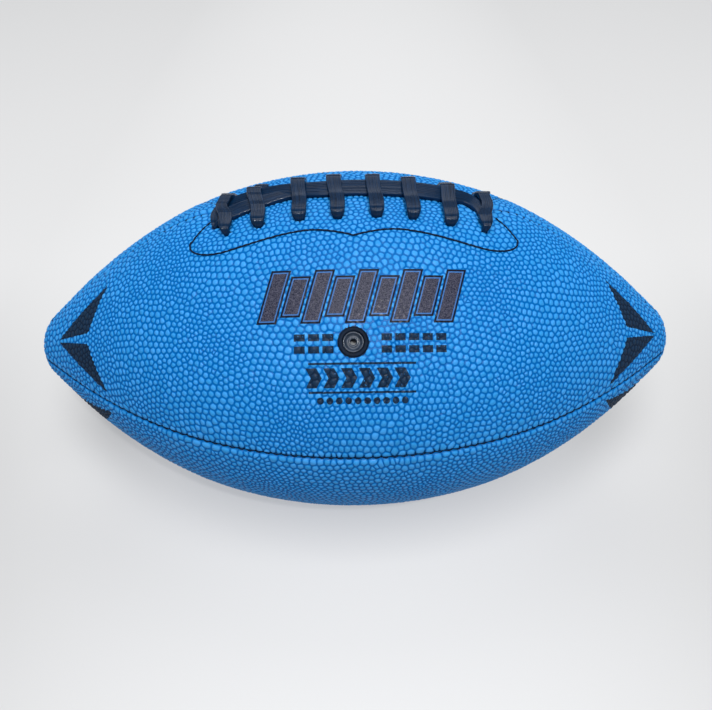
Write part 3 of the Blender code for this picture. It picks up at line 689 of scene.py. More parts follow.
def make_cover(panel, middle, seed, mat):
    rng = np.random.default_rng(seed)
    p = hexagonal_points(rng)
    u, phi, _ = from_chart(p)
    p = p[(edge_distance(u, phi) > 0.42 * SPACING) & (np.abs(p[:, 0]) < U_MAX - 1.0) & (np.abs(p[:, 1]) < 60)]
    p = relax(p, 4)
    corners, rings = cells_of(p)

    # Corners by the panel's edge lie on it.
    u, phi, sign = from_chart(corners)
    gap = edge_distance(u, phi)
    edge = gap < 0.42
    phi = np.where(edge, np.sign(phi) * half_angle(u), phi)
    u = np.minimum(u, U_MAX - 0.3)
    flat = to_chart(u, phi, sign)

    chart, rise, tone, height = [flat], [np.zeros(len(flat))], [np.full(len(flat), 0.5)], [np.full(len(flat), -0.42)]
    faces = []
    start = len(flat)
    for ring in rings:
        k = len(ring)
        c = flat[ring]
        g = c.mean(0)
        d = c - g
        area = 0.5 * abs(np.sum(c[:, 0] * np.roll(c[:, 1], -1) - np.roll(c[:, 0], -1) * c[:, 1]))
        size = math.sqrt(max(area, 0.05) / math.pi)
        keep = max(1 - 0.50 / size, 0.45)
        inner = g + d * keep
        before, after = np.roll(inner, 1, 0), np.roll(inner, -1, 0)
        shoulder = np.empty((2 * k, 2))
        shoulder[0::2] = inner + 0.27 * (before - inner)
        shoulder[1::2] = inner + 0.27 * (after - inner)
        crown = g + d * keep * 0.56
        lift = rng.normal(0, 0.03)
        tilt = rng.normal(0, 0.035, 2)
        shade = rng.uniform(0, 1)
        block = np.concatenate([shoulder, crown, [g]])
        h = np.concatenate([np.full(2 * k, -0.15), np.full(k, 0.0), [0.06]]) + lift + (block - g) @ tilt
        chart.append(block)
        height.append(h)
        rise.append(np.concatenate([np.full(2 * k, 0.72), np.ones(k + 1)]))
        tone.append(np.full(3 * k + 1, shade))
        s0, c0, g0 = start, start + 2 * k, start + 3 * k
        for i in range(k):
            j = (i + 1) % k
            a, b = ring[i], ring[j]
            faces.append((a, s0 + 2 * i, s0 + 2 * i + 1))
            faces.append((a, s0 + 2 * i + 1, s0 + 2 * j, b))
            faces.append((s0 + 2 * i, c0 + i, s0 + 2 * i + 1))
            faces.append((s0 + 2 * i + 1, c0 + i, c0 + j, s0 + 2 * j))
            faces.append((c0 + i, g0, c0 + j))
        start += 3 * k + 1
    chart, height = np.concatenate(chart), np.concatenate(height)
    rise, tone = np.concatenate(rise), np.concatenate(tone)
    count = len(chart)

    # The loop of edges that only one pebble uses is the panel's edge.
    used = {}
    for ring in rings:
        for a, b in zip(ring, ring[1:] + ring[:1]):
            if (b, a) in used:
                del used[(b, a)]
            else:
                used[(a, b)] = True
    follow = {a: b for a, b in used}
    first = max(follow, key=lambda i: flat[i, 0])
    loop = [first]
    while follow[loop[-1]] != first and len(loop) < len(follow) + 2:
        loop.append(follow[loop[-1]])

    # Inner face: the same edge, 1.8 mm in, and a coarser net inside it.
    edge_chart = flat[loop]
    grid = np.stack(np.meshgrid(np.arange(-130, 131, 6.5), np.arange(-52, 53, 6.5)), -1).reshape(-1, 2)
    gu, gphi, _ = from_chart(grid)
    grid = grid[(edge_distance(gu, gphi) > 3.5) & (gu < U_MAX - 6)]
    net = np.concatenate([edge_chart, grid])
    n = len(edge_chart)
    made = delaunay_2d_cdt([Vector(q) for q in net.tolist()], [(i, (i + 1) % n) for i in range(n)], [], 1, 1e-7)
    inner_chart = np.array([tuple(v) for v in made[0]])
    origin = made[3]
    new_index = {}
    for i, src in enumerate(origin):
        for o in src:
            new_index[o] = i
    inner_faces = [tuple(t) for t in made[2]]

    u, phi, sign = from_chart(chart)
    x = sign * np.interp(u, TABLE_U, TABLE_X)
    t = math.radians(middle) + phi
    gap = np.maximum(edge_distance(u, phi), 0)
    r = np.interp(u, TABLE_U, TABLE_R)
    width = CREASE_W * np.minimum(r / 14, 1.0) + 0.05
    fall = np.clip(1 - gap / width, 0, 1)
    drop = 1.05 * seam_drop(r) * (1 - np.sqrt(1 - fall ** 2))
    h = height * (0.35 + 0.65 * smoothstep(0.0, 1.4, gap)) * np.clip(r / 4, 0.3, 1) - drop

    side = 1 if "front" in panel else -1
    if "top" in panel:
        s = side * t * ball_radius(x, t * 0.5)
        close = (s < 33) & (np.abs(x) < 66)
        away = np.full(count, 99.0)
        away[close] = distance_to_line(np.stack([x[close], s[close]], 1), OUTLINE)
        h = h * (0.3 + 0.7 * smoothstep(0.2, 1.1, away)) - 0.30 * np.exp(-(away / 0.8) ** 2) - 0.16 * np.exp(-(away / 2.0) ** 2)
        # The laced edge is pressed down round each hole.
        for lx, ls, _ in FRONT_HOLES if side == 1 else BACK_HOLES:
            far = np.hypot(x - lx, s - ls)
            h = h - 0.35 * np.exp(-(far / 3.2) ** 2)
    py = (t - math.radians(PRINT_T[panel])) * np.interp(u, TABLE_U, TABLE_R)
    if panel == "front_top":
        flat_print = smoothstep(-0.3, 0.5, bar_depth(x, py))
        h = h * (1 - 0.78 * flat_print) - 0.04 * flat_print
        far = np.hypot(x - VALVE_X, (t - VALVE_T) * ball_radius(x, t))
        h = h - 0.12 * np.exp(-((far - 5.6) / 1.2) ** 2)
    outer = on_ball(x, t) + ball_normal(x, t) * h[:, None]

    iu, iphi, isign = from_chart(inner_chart)
    ix = isign * np.interp(iu, TABLE_U, TABLE_X)
    it = math.radians(middle) + iphi
    ir = np.interp(iu, TABLE_U, TABLE_R)
    igap = np.maximum(edge_distance(iu, iphi), 0)
    thick = 1.8 * np.clip(ir / 7, 0.25, 1)
    turn = np.clip(1 - igap / CREASE_W, 0, 1)
    inner = on_ball(ix, it) - ball_normal(ix, it) * (thick + (0.1 + 0.4 * np.clip(ir / 7, 0, 1)) * turn)[:, None]

    verts = np.concatenate([outer, inner])
    faces = [tuple(f) for f in faces]
    faces += [tuple(count + i for i in f) for f in inner_faces]
    for i in range(n):
        a, b = loop[i], loop[(i + 1) % n]
        ia, ib = count + new_index[i], count + new_index[(i + 1) % n]
        faces.append((b, a, ia, ib))
    obj = new_mesh("cover_panel_" + panel, verts, faces)
    add_attribute(obj, "rise", np.concatenate([rise, np.full(len(inner), 0.5)]))
    add_attribute(obj, "tone", np.concatenate([tone, np.full(len(inner), 0.5)]))
    add_attribute(obj, "skin", np.concatenate([np.ones(count), np.zeros(len(inner))]))
    full = np.concatenate([np.stack([x, py, np.zeros(count)], 1), np.full((len(inner), 3), 500.0)])
    add_attribute(obj, "print", full, "FLOAT_VECTOR")
    bm = bmesh.new()
    bm.from_mesh(obj.data)
    bmesh.ops.triangulate(bm, faces=[f for f in bm.faces if len(f.verts) > 3], quad_method="SHORT_EDGE")
    bmesh.ops.recalc_face_normals(bm, faces=bm.faces[:])
    bad = sum(1 for e in bm.edges if len(e.link_faces) != 2)
    bm.to_mesh(obj.data)
    bm.free()
    print("cover", panel, "pebbles", len(rings), "faces", len(obj.data.polygons), "open edges", bad)

    if "top" in panel:
        punches = bmesh.new()
        rods = FRONT_HOLES + [END_PUNCH] if side == 1 else [(lx, -ls, rr) for lx, ls, rr in BACK_HOLES]
        places = [(lx, float(angle_at(lx, s)), rr) for lx, s, rr in rods]
        if side == 1:
            places.append((VALVE_X, VALVE_T, VALVE_BORE))
        for lx, tt, rr in places:
            foot = Vector(on_ball(lx, tt)) * MM + CENTRE
            n = Vector(ball_normal(lx, tt))
            rod = bmesh.ops.create_cone(punches, cap_ends=True, segments=64 if rr > 4 else 28,
                                        radius1=rr * MM, radius2=rr * MM, depth=9 * MM)
            turn = Vector((0, 0, 1)).rotation_difference(n).to_matrix().to_4x4()
            bmesh.ops.transform(punches, matrix=Matrix.Translation(foot) @ turn, verts=rod["verts"])
        cutter_mesh = bpy.data.meshes.new("punches")
        punches.to_mesh(cutter_mesh)
        punches.free()
        cutter = bpy.data.objects.new("punches", cutter_mesh)
        bpy.context.scene.collection.objects.link(cutter)
        hole = obj.modifiers.new("holes", "BOOLEAN")
        hole.operation = "DIFFERENCE"
        hole.solver = "MANIFOLD"
        hole.object = cutter
        bpy.context.view_layer.update()
        cut = bpy.data.meshes.new_from_object(obj.evaluated_get(bpy.context.evaluated_depsgraph_get()))
        obj.modifiers.clear()
        if len(cut.polygons) > 1000:
            obj.data = cut
        bpy.data.objects.remove(cutter, do_unlink=True)
        obj.data.shade_smooth()
        print("  after the holes", len(obj.data.polygons), [a.name for a in obj.data.attributes])
    obj.data.set_sharp_from_angle(angle=math.radians(62))
    return put(obj, mat, "cover", "cover_" + panel)


COVERS = {}
for panel, middle, seed, mat in (("front_top", 45, 11, MAT_COVER_PRINT), ("back_top", -45, 23, MAT_COVER),
                                 ("front_bottom", 135, 37, MAT_COVER), ("back_bottom", 225, 41, MAT_COVER)):
    COVERS[panel] = make_cover(panel, middle, seed, mat)


# ----------------------------------------------------------------------------
# Strips and threads
# ----------------------------------------------------------------------------
def smooth_path(rows, step):
    """Rows of numbers whose first three are a place, drawn as one smooth curve."""
    rows = np.asarray(rows, float)
    run = np.concatenate([[0], np.cumsum(np.linalg.norm(np.diff(rows[:, :3], axis=0), axis=1))])
    slope = np.gradient(rows, run, axis=0)
    even = np.linspace(0, run[-1], int(run[-1] / step) + 1)
    i = np.clip(np.searchsorted(run, even, "right") - 1, 0, len(run) - 2)
    w = (run[i + 1] - run[i])[:, None]
    k = ((even - run[i]) / (run[i + 1] - run[i]))[:, None]
    h00, h10 = 2 * k ** 3 - 3 * k ** 2 + 1, k ** 3 - 2 * k ** 2 + k
    h01, h11 = -2 * k ** 3 + 3 * k ** 2, k ** 3 - k ** 2
    return h00 * rows[i] + h10 * w * slope[i] + h01 * rows[i + 1] + h11 * w * slope[i + 1], even


def strip(name, path, run, outline):
    """Closed sweep. path rows: place, side direction, width, thickness and, if given, how far its
    section is rounded, from flat to oval. outline: (across, up) in halves."""
    p, side, width, thick = path[:, :3], path[:, 3:6], path[:, 6], path[:, 7]
    oval = np.clip(path[:, 8], 0, 1) if path.shape[1] > 8 else np.zeros(len(p))
    along = np.gradient(p, run, axis=0)
    along /= np.linalg.norm(along, axis=1, keepdims=True)
    wide = side - along * (side * along).sum(1, keepdims=True)
    wide /= np.linalg.norm(wide, axis=1, keepdims=True)
    up = np.cross(wide, along)
    n, k = len(p), len(outline)
    ellipse = np.sign(outline[:, 1]) * np.sqrt(np.clip(1 - outline[:, 0] ** 2, 0, 1))
    rise = outline[None, :, 1] * (1 - 0.75 * oval[:, None]) + 0.75 * oval[:, None] * ellipse[None, :]
    ring = (p[:, None, :] + wide[:, None, :] * (outline[None, :, 0:1] * width[:, None, None] / 2)
            + up[:, None, :] * (rise[:, :, None] * thick[:, None, None] / 2))
    verts = np.concatenate([ring.reshape(-1, 3), p[:1], p[-1:]])
    faces = []
    for i in range(n - 1):
        a, b = i * k, (i + 1) * k
        for j in range(k):
            m = (j + 1) % k
            faces.append((a + j, a + m, b + m, b + j))
    last = (n - 1) * k
    for j in range(k):
        m = (j + 1) % k
        faces.append((m, j, n * k))
        faces.append((last + j, last + m, n * k + 1))
    obj = new_mesh(name, verts, faces)
    across = (outline[None, :, 0] * width[:, None] / 2)
    coords = np.stack([across, np.broadcast_to(run[:, None], across.shape), np.zeros_like(across)], -1).reshape(-1, 3)
    coords = np.concatenate([coords, [[0, run[0], 0], [0, run[-1], 0]]])
    add_attribute(obj, "strip", coords, "FLOAT_VECTOR")
    bm = bmesh.new()
    bm.from_mesh(obj.data)
    bmesh.ops.recalc_face_normals(bm, faces=bm.faces[:])
    bm.to_mesh(obj.data)
    bm.free()
    return obj


def lace_outline():
    """Flat strip with fine ridges along it and rounded edges."""
    u = np.linspace(-0.84, 0.84, 33)
    ridges = 0.05 * np.cos(u / 0.84 * math.pi * 7.5) + 0.02 * np.cos(u / 0.84 * math.pi * 3 + 1)
    crown = 0.06 * (1 - (u / 0.84) ** 2)
    top = np.stack([u, 0.93 + ridges + crown], 1)
    a = np.linspace(math.pi / 2, -math.pi / 2, 9)[1:-1]
    right = np.stack([0.84 + 0.16 * np.cos(a) ** 0.8, 0.96 * np.sign(np.sin(a)) * np.abs(np.sin(a)) ** 0.9], 1)
    bottom = np.stack([u[::-1], -0.93 - ridges[::-1] - crown[::-1]], 1)
    left = np.stack([-right[::-1, 0], right[::-1, 1]], 1)
    return np.concatenate([top, right, bottom, left])


def frame_at(x, s, h, turn, width, thick, oval=0.0, roll=0.0):
    """One row of a strip's path. turn: 0 where its width lies along the ball, 1 around it.
    roll: degrees by which the strip's front edge is raised off the ball."""
    p = near(x, s, h)
    t = float(angle_at(x, s))
    around = np.array([0, -math.cos(t), -math.sin(t)])
    a = abs(turn) * QUARTER
    side = np.array([math.copysign(math.cos(a), turn if turn else 1.0), 0, 0]) + around * math.sin(a)
    if roll:
        side = side * math.cos(math.radians(roll)) + ball_normal(x, t) * math.sin(math.radians(roll))
    return np.concatenate([p, side, [width, thick, oval]])


W, K = 5.6, 1.85                 # the strip where it crosses over
BAND_W, BAND_K = 6.7, 2.05       # and where it lies along the seam, on a second strand


def lace_rows():
    hs, hb, xs = LACE_HOLE_S, LACE_HOLE_BACK, LACE_X
    deep, hw, hk = -5.4, 3.4, 1.8
    out = []
    # The lower strand: under the upper one along the seam, then out in front of it past the third loop.
    x = 43.0
    while x > -14:
        out.append(frame_at(x, -1.2, 0.95, -1.0, 4.0 if x > 42 else 5.0, 1.2 if x > 42 else 1.7))
        x -= 5.0
    for x, s, h, w, k, roll in ((-17.0, -0.3, 1.05, 5.0, 1.75, -2), (-21.0, 0.6, 1.15, 5.0, 1.8, -5),
                                (-25.5, 1.7, 1.3, 5.2, 1.9, -8), (-30.0, 2.8, 1.4, 5.5, 2.0, -11),
                                (-34.5, 4.0, 1.5, 5.9, 2.05, -13), (-38.5, 5.2, 1.6, 6.2, 2.05, -14),
                                (-42.5, 6.5, 1.65, 6.3, 2.05, -14), (-46.0, 8.1, 1.6, 6.0, 2.05, -11)):
        out.append(frame_at(x, s, h, -1.0 + 0.1 * float(smoothstep(-34, -46, x)), w, k, 0.0, roll))
    # Down over the edge of the end hole.
    for x, s, h, w, k, oval in ((-48.6, 9.6, 1.5, 5.5, 2.1, 0.2), (-50.2, 10.6, 1.1, 5.0, 2.1, 0.5),
                                (-51.2, 11.2, 0.4, 4.5, 2.1, 0.8), (-51.7, 11.6, -0.6, 4.0, 2.0, 0.9),
                                (-51.8, 11.7, -2.0, 3.6, 2.0, 0.6)):
        out.append(frame_at(x, s, h, -0.8, w, k, oval))
    out.append(frame_at(END_HOLE[0], END_HOLE[1], -4.1, -0.5, hw, hk))

    def under(x0, s0, x1, s1):
        rows = []
        for i in range(6):
            f = 0.05 + 0.9 * i / 5
            rows.append(frame_at(x0 + (x1 - x0) * f, s0 + (s1 - s0) * f, deep, -1e-6, 4.7, 1.8))
        return rows

    out += under(END_HOLE[0], END_HOLE[1], xs[0], -hb)
    for i, lx in enumerate(xs):
        point, edge = POINTED[i], 1.0 if i in (0, 7) else 0.0
        back_x = BACK_HOLES[i][0]

        def at(s, h, width, thick=K, oval=0.0):
            lean = LEAN[i] * float(smoothstep(14, -2, s))
            lean += (back_x - lx - LEAN[i]) * float(smoothstep(-8, -14.6, s))
            foot = FOOT[i] * float(smoothstep(-1, 13, s))
            foot += (-2.0 if i == 0 else 1.6 if i == 7 else 0.0) * math.exp(-((s - 4.0) / 5.0) ** 2)
            h -= DROP[i] * float(smoothstep(6, 0, s) * smoothstep(-9, -4, s))
            if i < 2:
                h += 0.55 * float(smoothstep(1, 4, s) * (1 - smoothstep(10, 13, s)))
            return frame_at(lx + lean + foot, s, h, -1e-6, width, thick, oval)

        out += [frame_at(back_x, -hb, -4.1, -1e-6, hw, hk), frame_at(back_x, -hb - 0.1, -2.2, -1e-6, hw, hk),
                at(-hb - 0.2, -0.9, 3.8, 2.0, 0.6), at(-hb + 0.2, 0.05, 4.5, 1.8, 0.35), at(-hb + 1.6, 0.62, 5.2, 1.6, 0.1)]
        top = W * (1 - 0.2 * edge)
        out += [at(s, h, w, k) for s, h, w, k in ((-10.8, 0.7, 5.3, 1.6), (-8.0, 1.15, 5.4, 1.7), (-6.0, 2.1, 5.5, K),
                                                  (-4.8, 3.3, 5.6, K), (-3.7, 4.45, 5.7, K), (-2.6, 5.1, top + 0.2, K),
                                                  (-1.3, 5.25, top, K), (0.9, 4.7, top, K), (3.4, 3.6, top, K),
                                                  (5.6, 2.85, top, K), (7.8, 2.5, W * (1 - 0.14 * edge), K),
                                                  (10.0, 2.4, W * (1 - 0.1 * edge), K))]
        # The front bend: over, out and down into its hole, the strip gathering as it goes.
        out.append(at(12.2, 2.45, W * (1 - 0.10 * point)))
        cs, ch, bend = 16.35 + REACH[i] * 0.8, 0.35, 2.15
        for theta, w, k, oval in ((-12, 1.0, 1.95, 0.05), (15, 1.0, 2.1, 0.15), (40, 0.97, 2.3, 0.4),
                                  (65, 0.89, 2.5, 0.7), (90, 0.75, 2.65, 0.95)):
            a = math.radians(theta)
            gather = 1 - point * (0.16 + 0.38 * float(smoothstep(-20, 95, theta)))
            out.append(at(cs + bend * math.sin(a), ch + bend * math.cos(a), W * w * gather, k, max(oval, 0.6 * point)))
        foot_x = FRONT_HOLES[i][0]
        out += [at(cs + bend - 0.15, ch - 1.1, 3.5 - 1.0 * point, 2.4, 1.0),
                frame_at(foot_x, hs + 0.4, -2.1, -1e-6, 3.4 - 0.6 * point, 2.0, 0.7),
                frame_at(foot_x, hs, -3.2, -1e-6, hw, hk), frame_at(lx, hs, -4.4, -1e-6, hw, hk)]
        if i + 1 < len(xs):
            out += under(lx, hs, xs[i + 1], -hb)
        else:
            out += [frame_at(lx - 0.6, hs - 1.8, deep, -1e-6, 4.6, 1.8), frame_at(lx - 2.5, hs - 7.0, deep, -1e-6, 4.8, 1.8),
                    frame_at(lx - 4.5, hs - 12.5, deep, -1e-6, 4.6, 1.8)]
    return out


LACE_OUTLINE = lace_outline()
path, run = smooth_path(lace_rows(), 0.55)
print("lace length mm", round(float(run[-1]), 1))
lace = strip("lace_strip", path, run, LACE_OUTLINE)
put(lace, MAT_LACE, "lace", "lace")

# The upper strand of the band. At +X it turns down under the foot of the last loop, and at -X it
# ends under the first one. It lies tilted, its back edge on the strand below.
rows = [frame_at(x, s, h, turn, w, k, 0.0, roll) for x, s, h, turn, w, k, roll in (
    (49.3, 14.8, 0.8, -1e-6, 2.4, 0.9, 0), (49.3, 12.8, 0.9, -1e-6, 3.8, 1.4, 0), (49.2, 9.6, 1.0, -0.03, 4.8, 1.7, 0),
    (48.9, 6.4, 1.1, -0.14, 5.2, 1.8, 0), (47.7, 3.4, 1.25, -0.36, 5.5, 1.9, 0), (45.6, 1.1, 1.45, -0.64, 5.9, 1.95, -6),
    (42.5, -0.3, 1.7, -0.88, 6.1, BAND_K, -15), (38.5, 0.2, 1.95, -1.0, 6.5, BAND_K, -21))]
x = 33.5
while x > -14:
    rows.append(frame_at(x, 1.9 - 0.03 * x + 0.1 * math.sin(x / 5), 2.2, -1.0, BAND_W + 0.2, BAND_K, 0.0, -25))
    x -= 5.0
rows += [frame_at(x, s, h, turn, w, k, 0.0, roll) for x, s, h, turn, w, k, roll in (
    (-17.5, 1.2, 2.1, -1.0, BAND_W, BAND_K, -23), (-22.0, 0.3, 2.1, -1.0, 6.5, BAND_K, -22),
    (-27.0, -0.7, 2.05, -1.0, 6.3, BAND_K, -21), (-32.0, -1.3, 2.0, -1.0, 6.1, BAND_K, -20),
    (-37.0, -1.6, 1.8, -1.0, 5.9, BAND_K, -20), (-42.0, -1.7, 1.65, -1.0, 5.8, BAND_K, -19),
    (-46.0, -1.3, 1.55, -0.97, 5.7, 2.0, -16), (-48.6, -0.5, 1.5, -0.84, 5.6, 1.95, -11),
    (-50.3, 1.1, 1.4, -0.62, 5.4, 1.95, -6), (-51.3, 3.5, 1.3, -0.36, 5.2, 1.95, -2),
    (-51.8, 6.1, 1.2, -0.14, 5.0, 1.9, 0), (-51.8, 8.5, 1.0, -0.04, 4.7, 1.9, 0),
    (-51.7, 10.3, 0.45, -1e-6, 4.2, 1.8, 0), (-51.6, 11.5, -0.5, -1e-6, 3.6, 1.6, 0),
    (-51.5, 11.9, -1.5, -1e-6, 2.6, 1.2, 0))]
path, run = smooth_path(rows, 0.55)
put(strip("lace_band", path, run, LACE_OUTLINE), MAT_LACE, "lace")


def thread(name, points, radius, mat, slot, node, sides=10):
    """Round thread. points are in mm; radius may vary along it."""
    run = np.concatenate([[0], np.cumsum(np.linalg.norm(np.diff(points, axis=0), axis=1))])
    along = np.gradient(points, run, axis=0)
    along /= np.linalg.norm(along, axis=1, keepdims=True)
    out = points * np.array([0, 1, 1])
    side = np.cross(along, out)
    side /= np.linalg.norm(side, axis=1, keepdims=True)
    a = np.linspace(0, 2 * math.pi, sides, endpoint=False)
    ring = np.stack([np.cos(a), np.sin(a)], 1)
    path = np.concatenate([points, side, (2 * radius)[:, None], (2 * radius)[:, None]], 1)
    obj = strip(name, path, run, ring)
    turns = np.concatenate([np.tile(a / (2 * math.pi), len(points)), [0, 0]])
    lengths = np.concatenate([np.repeat(run, sides), [0, run[-1]]])
    coords = np.stack([turns, lengths, np.zeros_like(turns)], 1).astype(np.float32)
    obj.data.attributes["strip"].data.foreach_set("vector", coords.ravel())
    return put(obj, mat, slot, node)


STITCH_PITCH = 3.3
for name, t0, x0, x1, node in (
        ("seam_stitches_front", FRONT, -130.2, 130.2, "seam_thread_front"),
        ("seam_stitches_bottom", BOTTOM, -130.2, 130.2, "seam_thread_bottom"),
        ("seam_stitches_back", BACK, -130.2, 130.2, "seam_thread_back"),
        ("seam_stitches_top_left", TOP, -130.2, -56.5, "seam_thread_top_left"),
        ("seam_stitches_top_right", TOP, 56.5, 130.2, "seam_thread_top_right")):
    x = np.arange(x0, x1 + 0.01, 0.35)
    wave = np.sin(2 * math.pi * x / STITCH_PITCH)
    r0 = ball_radius(x, t0)
    depth = seam_drop(r0) * (0.86 - 0.20 * wave) * (1 + 0.6 * smoothstep(84, 106, np.abs(x)))
    t = t0 + (0.07 * np.sin(2 * math.pi * x / STITCH_PITCH + 1.2) / r0)
    r = ball_radius(x, t) - depth
    points = np.stack([x, -r * np.sin(t), r * np.cos(t)], 1)
    fat = 0.22 * np.clip(r0 / 30, 0.4, 1) * (0.86 + 0.14 * wave)
    thread(name, points, fat, MAT_THREAD, "thread", node)

for side, sign in (("front", 1), ("back", -1)):
    flat_line, even = resample(OUTLINE, 0.3)
    x, s = flat_line[:, 0], flat_line[:, 1] * sign
    phase = (even % 2.7) / 2.7
    bow = np.clip(np.sin(phase * math.pi), 0, 1) ** 0.4
    t = angle_at(x, s)
    # The turned-back ends are pulled deeper into the cover than the long edge.
    sunk = 0.22 * (np.abs(flat_line[:, 1]) < 18.0) * (np.abs(x) < 61.0)
    points = on_ball(x, t) + ball_normal(x, t) * (-0.40 + 0.26 * bow - sunk - (0.35 if side == "back" else 0.0))[:, None]
    thread("facing_stitches_" + side, points, 0.25 + 0.08 * bow, MAT_STITCH, "thread", "facing_stitch_" + side)

# ----------------------------------------------------------------------------
# Valve
# ----------------------------------------------------------------------------
foot = Vector(on_ball(VALVE_X, VALVE_T)) * MM + CENTRE
n = Vector(ball_normal(VALVE_X, VALVE_T)).normalized()
around = n.cross(Vector((1, 0, 0))).normalized()
along = around.cross(n).normalized()
VALVE_FRAME = Matrix(((along.x, around.x, n.x, foot.x), (along.y, around.y, n.y, foot.y),
                      (along.z, around.z, n.z, foot.z), (0, 0, 0, 1)))


def turned(name, profile, steps, mat, slot, node, ripple=0.0):
    """Closed body of revolution about the valve's axis, from (radius, height) in mm."""
    pts = []
    m = len(profile)
    for i, (r, z) in enumerate(profile):
        pts.append((r, z))
    bm = bmesh.new()
    rings = []
    for i, (r, z) in enumerate(pts):
        if r < 1e-6:
            rings.append([bm.verts.new((0, 0, z * MM))])
            continue
        ring = []
        for k in range(steps):
            a = 2 * math.pi * k / steps
            wave = ripple * (math.sin(a * 23) + 0.6 * math.sin(a * 37 + 1)) if z > -0.5 and r > 4.9 else 0.0
            ring.append(bm.verts.new(((r + wave) * math.cos(a) * MM, (r + wave) * math.sin(a) * MM, z * MM)))
        rings.append(ring)
    pairs = list(zip(rings, rings[1:]))
    if profile[0][0] > 1e-6:
        pairs.append((rings[-1], rings[0]))
    for a, b in pairs:
        for k in range(steps):
            j = (k + 1) % steps
            if len(a) == 1 and len(b) == 1:
                continue
            if len(a) == 1:
                bm.faces.new((a[0], b[k], b[j]))
            elif len(b) == 1:
                bm.faces.new((a[k], a[j], b[0]))
            else:
                bm.faces.new((a[k], a[j], b[j], b[k]))
    bmesh.ops.recalc_face_normals(bm, faces=bm.faces[:])
    bmesh.ops.transform(bm, matrix=VALVE_FRAME, verts=bm.verts[:])
    mesh = bpy.data.meshes.new(name)
    bm.to_mesh(mesh)
    bm.free()
    mesh.shade_smooth()
    mesh.set_sharp_from_angle(angle=math.radians(50))
    obj = bpy.data.objects.new(name, mesh)
    bpy.context.scene.collection.objects.link(obj)
    return put(obj, mat, slot, node)


turned("valve_ring", (
    (3.80, -0.75), (3.81, -0.42), (3.86, -0.24), (3.98, -0.14), (4.25, -0.07), (4.60, -0.05), (4.90, -0.09), (5.10, -0.18),
    (5.23, -0.34), (5.29, -0.58), (5.28, -2.5), (5.1, -2.7), (3.9, -2.95), (3.88, -9.0), (3.7, -9.3), (3.4, -9.5),
    (2.6, -9.5), (2.6, -1.6), (3.78, -1.6), (3.79, -1.4)), 120, MAT_HOUSING, "valve_rubber", "valve_housing", 0.02)
turned("valve_core", (
    (0.0, -6.0), (0.98, -6.0), (1.02, -1.5), (1.05, -1.05), (1.12, -0.84), (1.25, -0.70), (1.42, -0.62), (1.60, -0.61), (1.76, -0.67),
    (1.92, -0.76), (2.12, -0.80), (2.34, -0.74), (2.58, -0.58), (2.78, -0.36), (2.93, -0.13), (3.05, 0.04), (3.18, 0.15), (3.32, 0.20),
    (3.46, 0.18), (3.58, 0.09), (3.66, -0.04), (3.70, -0.22), (3.71, -0.45), (3.71, -1.3), (2.3, -1.35), (2.25, -9.0), (2.1, -9.5),
    (1.7, -9.8), (0.0, -9.8)), 120, MAT_PLUG, "valve_plug_rubber", "valve_plug")

# ----------------------------------------------------------------------------
# Floor, light and camera
# ----------------------------------------------------------------------------
mesh = bpy.data.meshes.new("floor")
bm = bmesh.new()
bmesh.ops.create_grid(bm, x_segments=24, y_segments=24, size=2.6)
bmesh.ops.translate(bm, verts=bm.verts[:], vec=(0, 0.6, -0.0003))
bm.to_mesh(mesh)
bm.free()
floor = bpy.data.objects.new("floor", mesh)
bpy.context.scene.collection.objects.link(floor)
# Painted light: the floor glows, brightest in a pool behind the ball and dimmer towards its sides and its near side.
m = Nodes("floor_glowing_paper")
paper = m.noise(m.object_coordinates(), 900.0, 4.0)
soft = m.noise(m.object_coordinates(), 1.2, 2.0)
fx, fy, _ = m.separate(m.object_coordinates())
near_side = m.ramp(fy, -0.10, 0.22, 1.0, 0.0)
across = m.math("POWER", m.math("DIVIDE", fx, 0.15), 2.0)
painted_floor_glow = m.math("SUBTRACT", 0.480, m.math("MULTIPLY", m.math("MINIMUM", across, 2.2), 0.030))
painted_floor_glow = m.math("SUBTRACT", painted_floor_glow, m.math("MULTIPLY", near_side, m.math("MULTIPLY_ADD", m.math("MINIMUM", across, 2.2), 0.14, 0.05)))
m.bsdf.inputs["Emission Color"].default_value = (0.985, 0.99, 1.0, 1.0)
# Painted shadow: the glow drops along the front of the ball's footprint, most towards its two ends.
rim = m.math("SQRT", m.math("ADD", m.math("POWER", m.math("DIVIDE", fx, 0.150), 2.0),
                             m.math("POWER", m.math("DIVIDE", m.math("SUBTRACT", fy, 0.105), 0.135), 2.0)))
painted_floor_shadow = m.math("MULTIPLY", m.ramp(rim, 0.98, 1.2, 1.0, 0.0), m.ramp(fy, 0.04, 0.14, 1.0, 0.0))
painted_floor_shadow = m.math("MULTIPLY", painted_floor_shadow, m.ramp(m.math("ABSOLUTE", fx), 0.08, 0.135, 0.0, 0.15))
m.link(m.math("SUBTRACT", painted_floor_glow, painted_floor_shadow), m.bsdf.inputs["Emission Strength"])
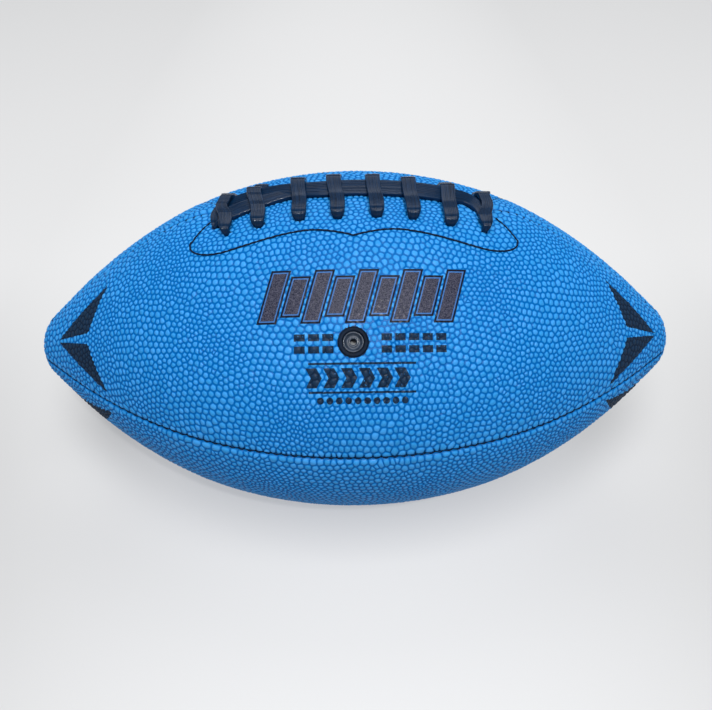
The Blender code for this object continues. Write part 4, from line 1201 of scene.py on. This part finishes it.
m.set(color=m.mix(m.ramp(soft, 0.3, 0.7), (0.375, 0.377, 0.38), (0.385, 0.387, 0.39)),
      roughness=m.ramp(paper, 0.3, 0.7, 0.75, 0.85), normal=m.bump(paper, 0.05, 0.0002), specular=0.2)
floor.data.materials.append(m.mat)
floor.visible_diffuse = False


def area_light(name, place, target, size, power, color, size_y=None):
    data = bpy.data.lights.new(name, "AREA")
    data.shape = "RECTANGLE"
    data.size = size
    data.size_y = size_y or size
    data.energy = power
    data.color = color
    light = bpy.data.objects.new(name, data)
    light.location = place
    light.rotation_euler = (Vector(target) - Vector(place)).to_track_quat("-Z", "Y").to_euler()
    bpy.context.scene.collection.objects.link(light)
    return light


MIDDLE = (0, 0, CENTRE_HEIGHT)
area_light("softbox_key", (0.07, -0.80, 1.45), MIDDLE, 1.00, 19.8, (1.0, 0.995, 0.985))
area_light("softbox_back", (0.0, 0.95, 1.50), MIDDLE, 1.20, 8.0, (1.0, 0.995, 0.985))
area_light("lamp", (0.12, -0.72, 0.80), MIDDLE, 0.035, 3.0, (1.0, 0.99, 0.97))

world = bpy.data.worlds.new("studio")
world.use_nodes = True
back = next(nd for nd in world.node_tree.nodes if nd.type == "BACKGROUND")
back.inputs[0].default_value = (0.95, 0.965, 1.0, 1.0)
back.inputs[1].default_value = 0.30
bpy.context.scene.world = world

ELEVATION, ROLL, DISTANCE = math.radians(35.38), math.radians(-0.72), 0.35
camera = bpy.data.cameras.new("camera")
camera.lens = 40.75
camera.sensor_width = 36
camera.shift_x = 1.0 / 712
camera.shift_y = -14.4 / 712
camera.clip_start, camera.clip_end = 0.01, 20
eye = bpy.data.objects.new("camera", camera)
eye.matrix_world = (Matrix.Translation(CENTRE + Vector((0, -math.cos(ELEVATION), math.sin(ELEVATION))) * DISTANCE)
                    @ Matrix.Rotation(math.pi / 2 - ELEVATION, 4, "X") @ Matrix.Rotation(ROLL, 4, "Z"))
bpy.context.scene.collection.objects.link(eye)
bpy.context.scene.camera = eye
bpy.context.scene.view_settings.view_transform = "Standard"
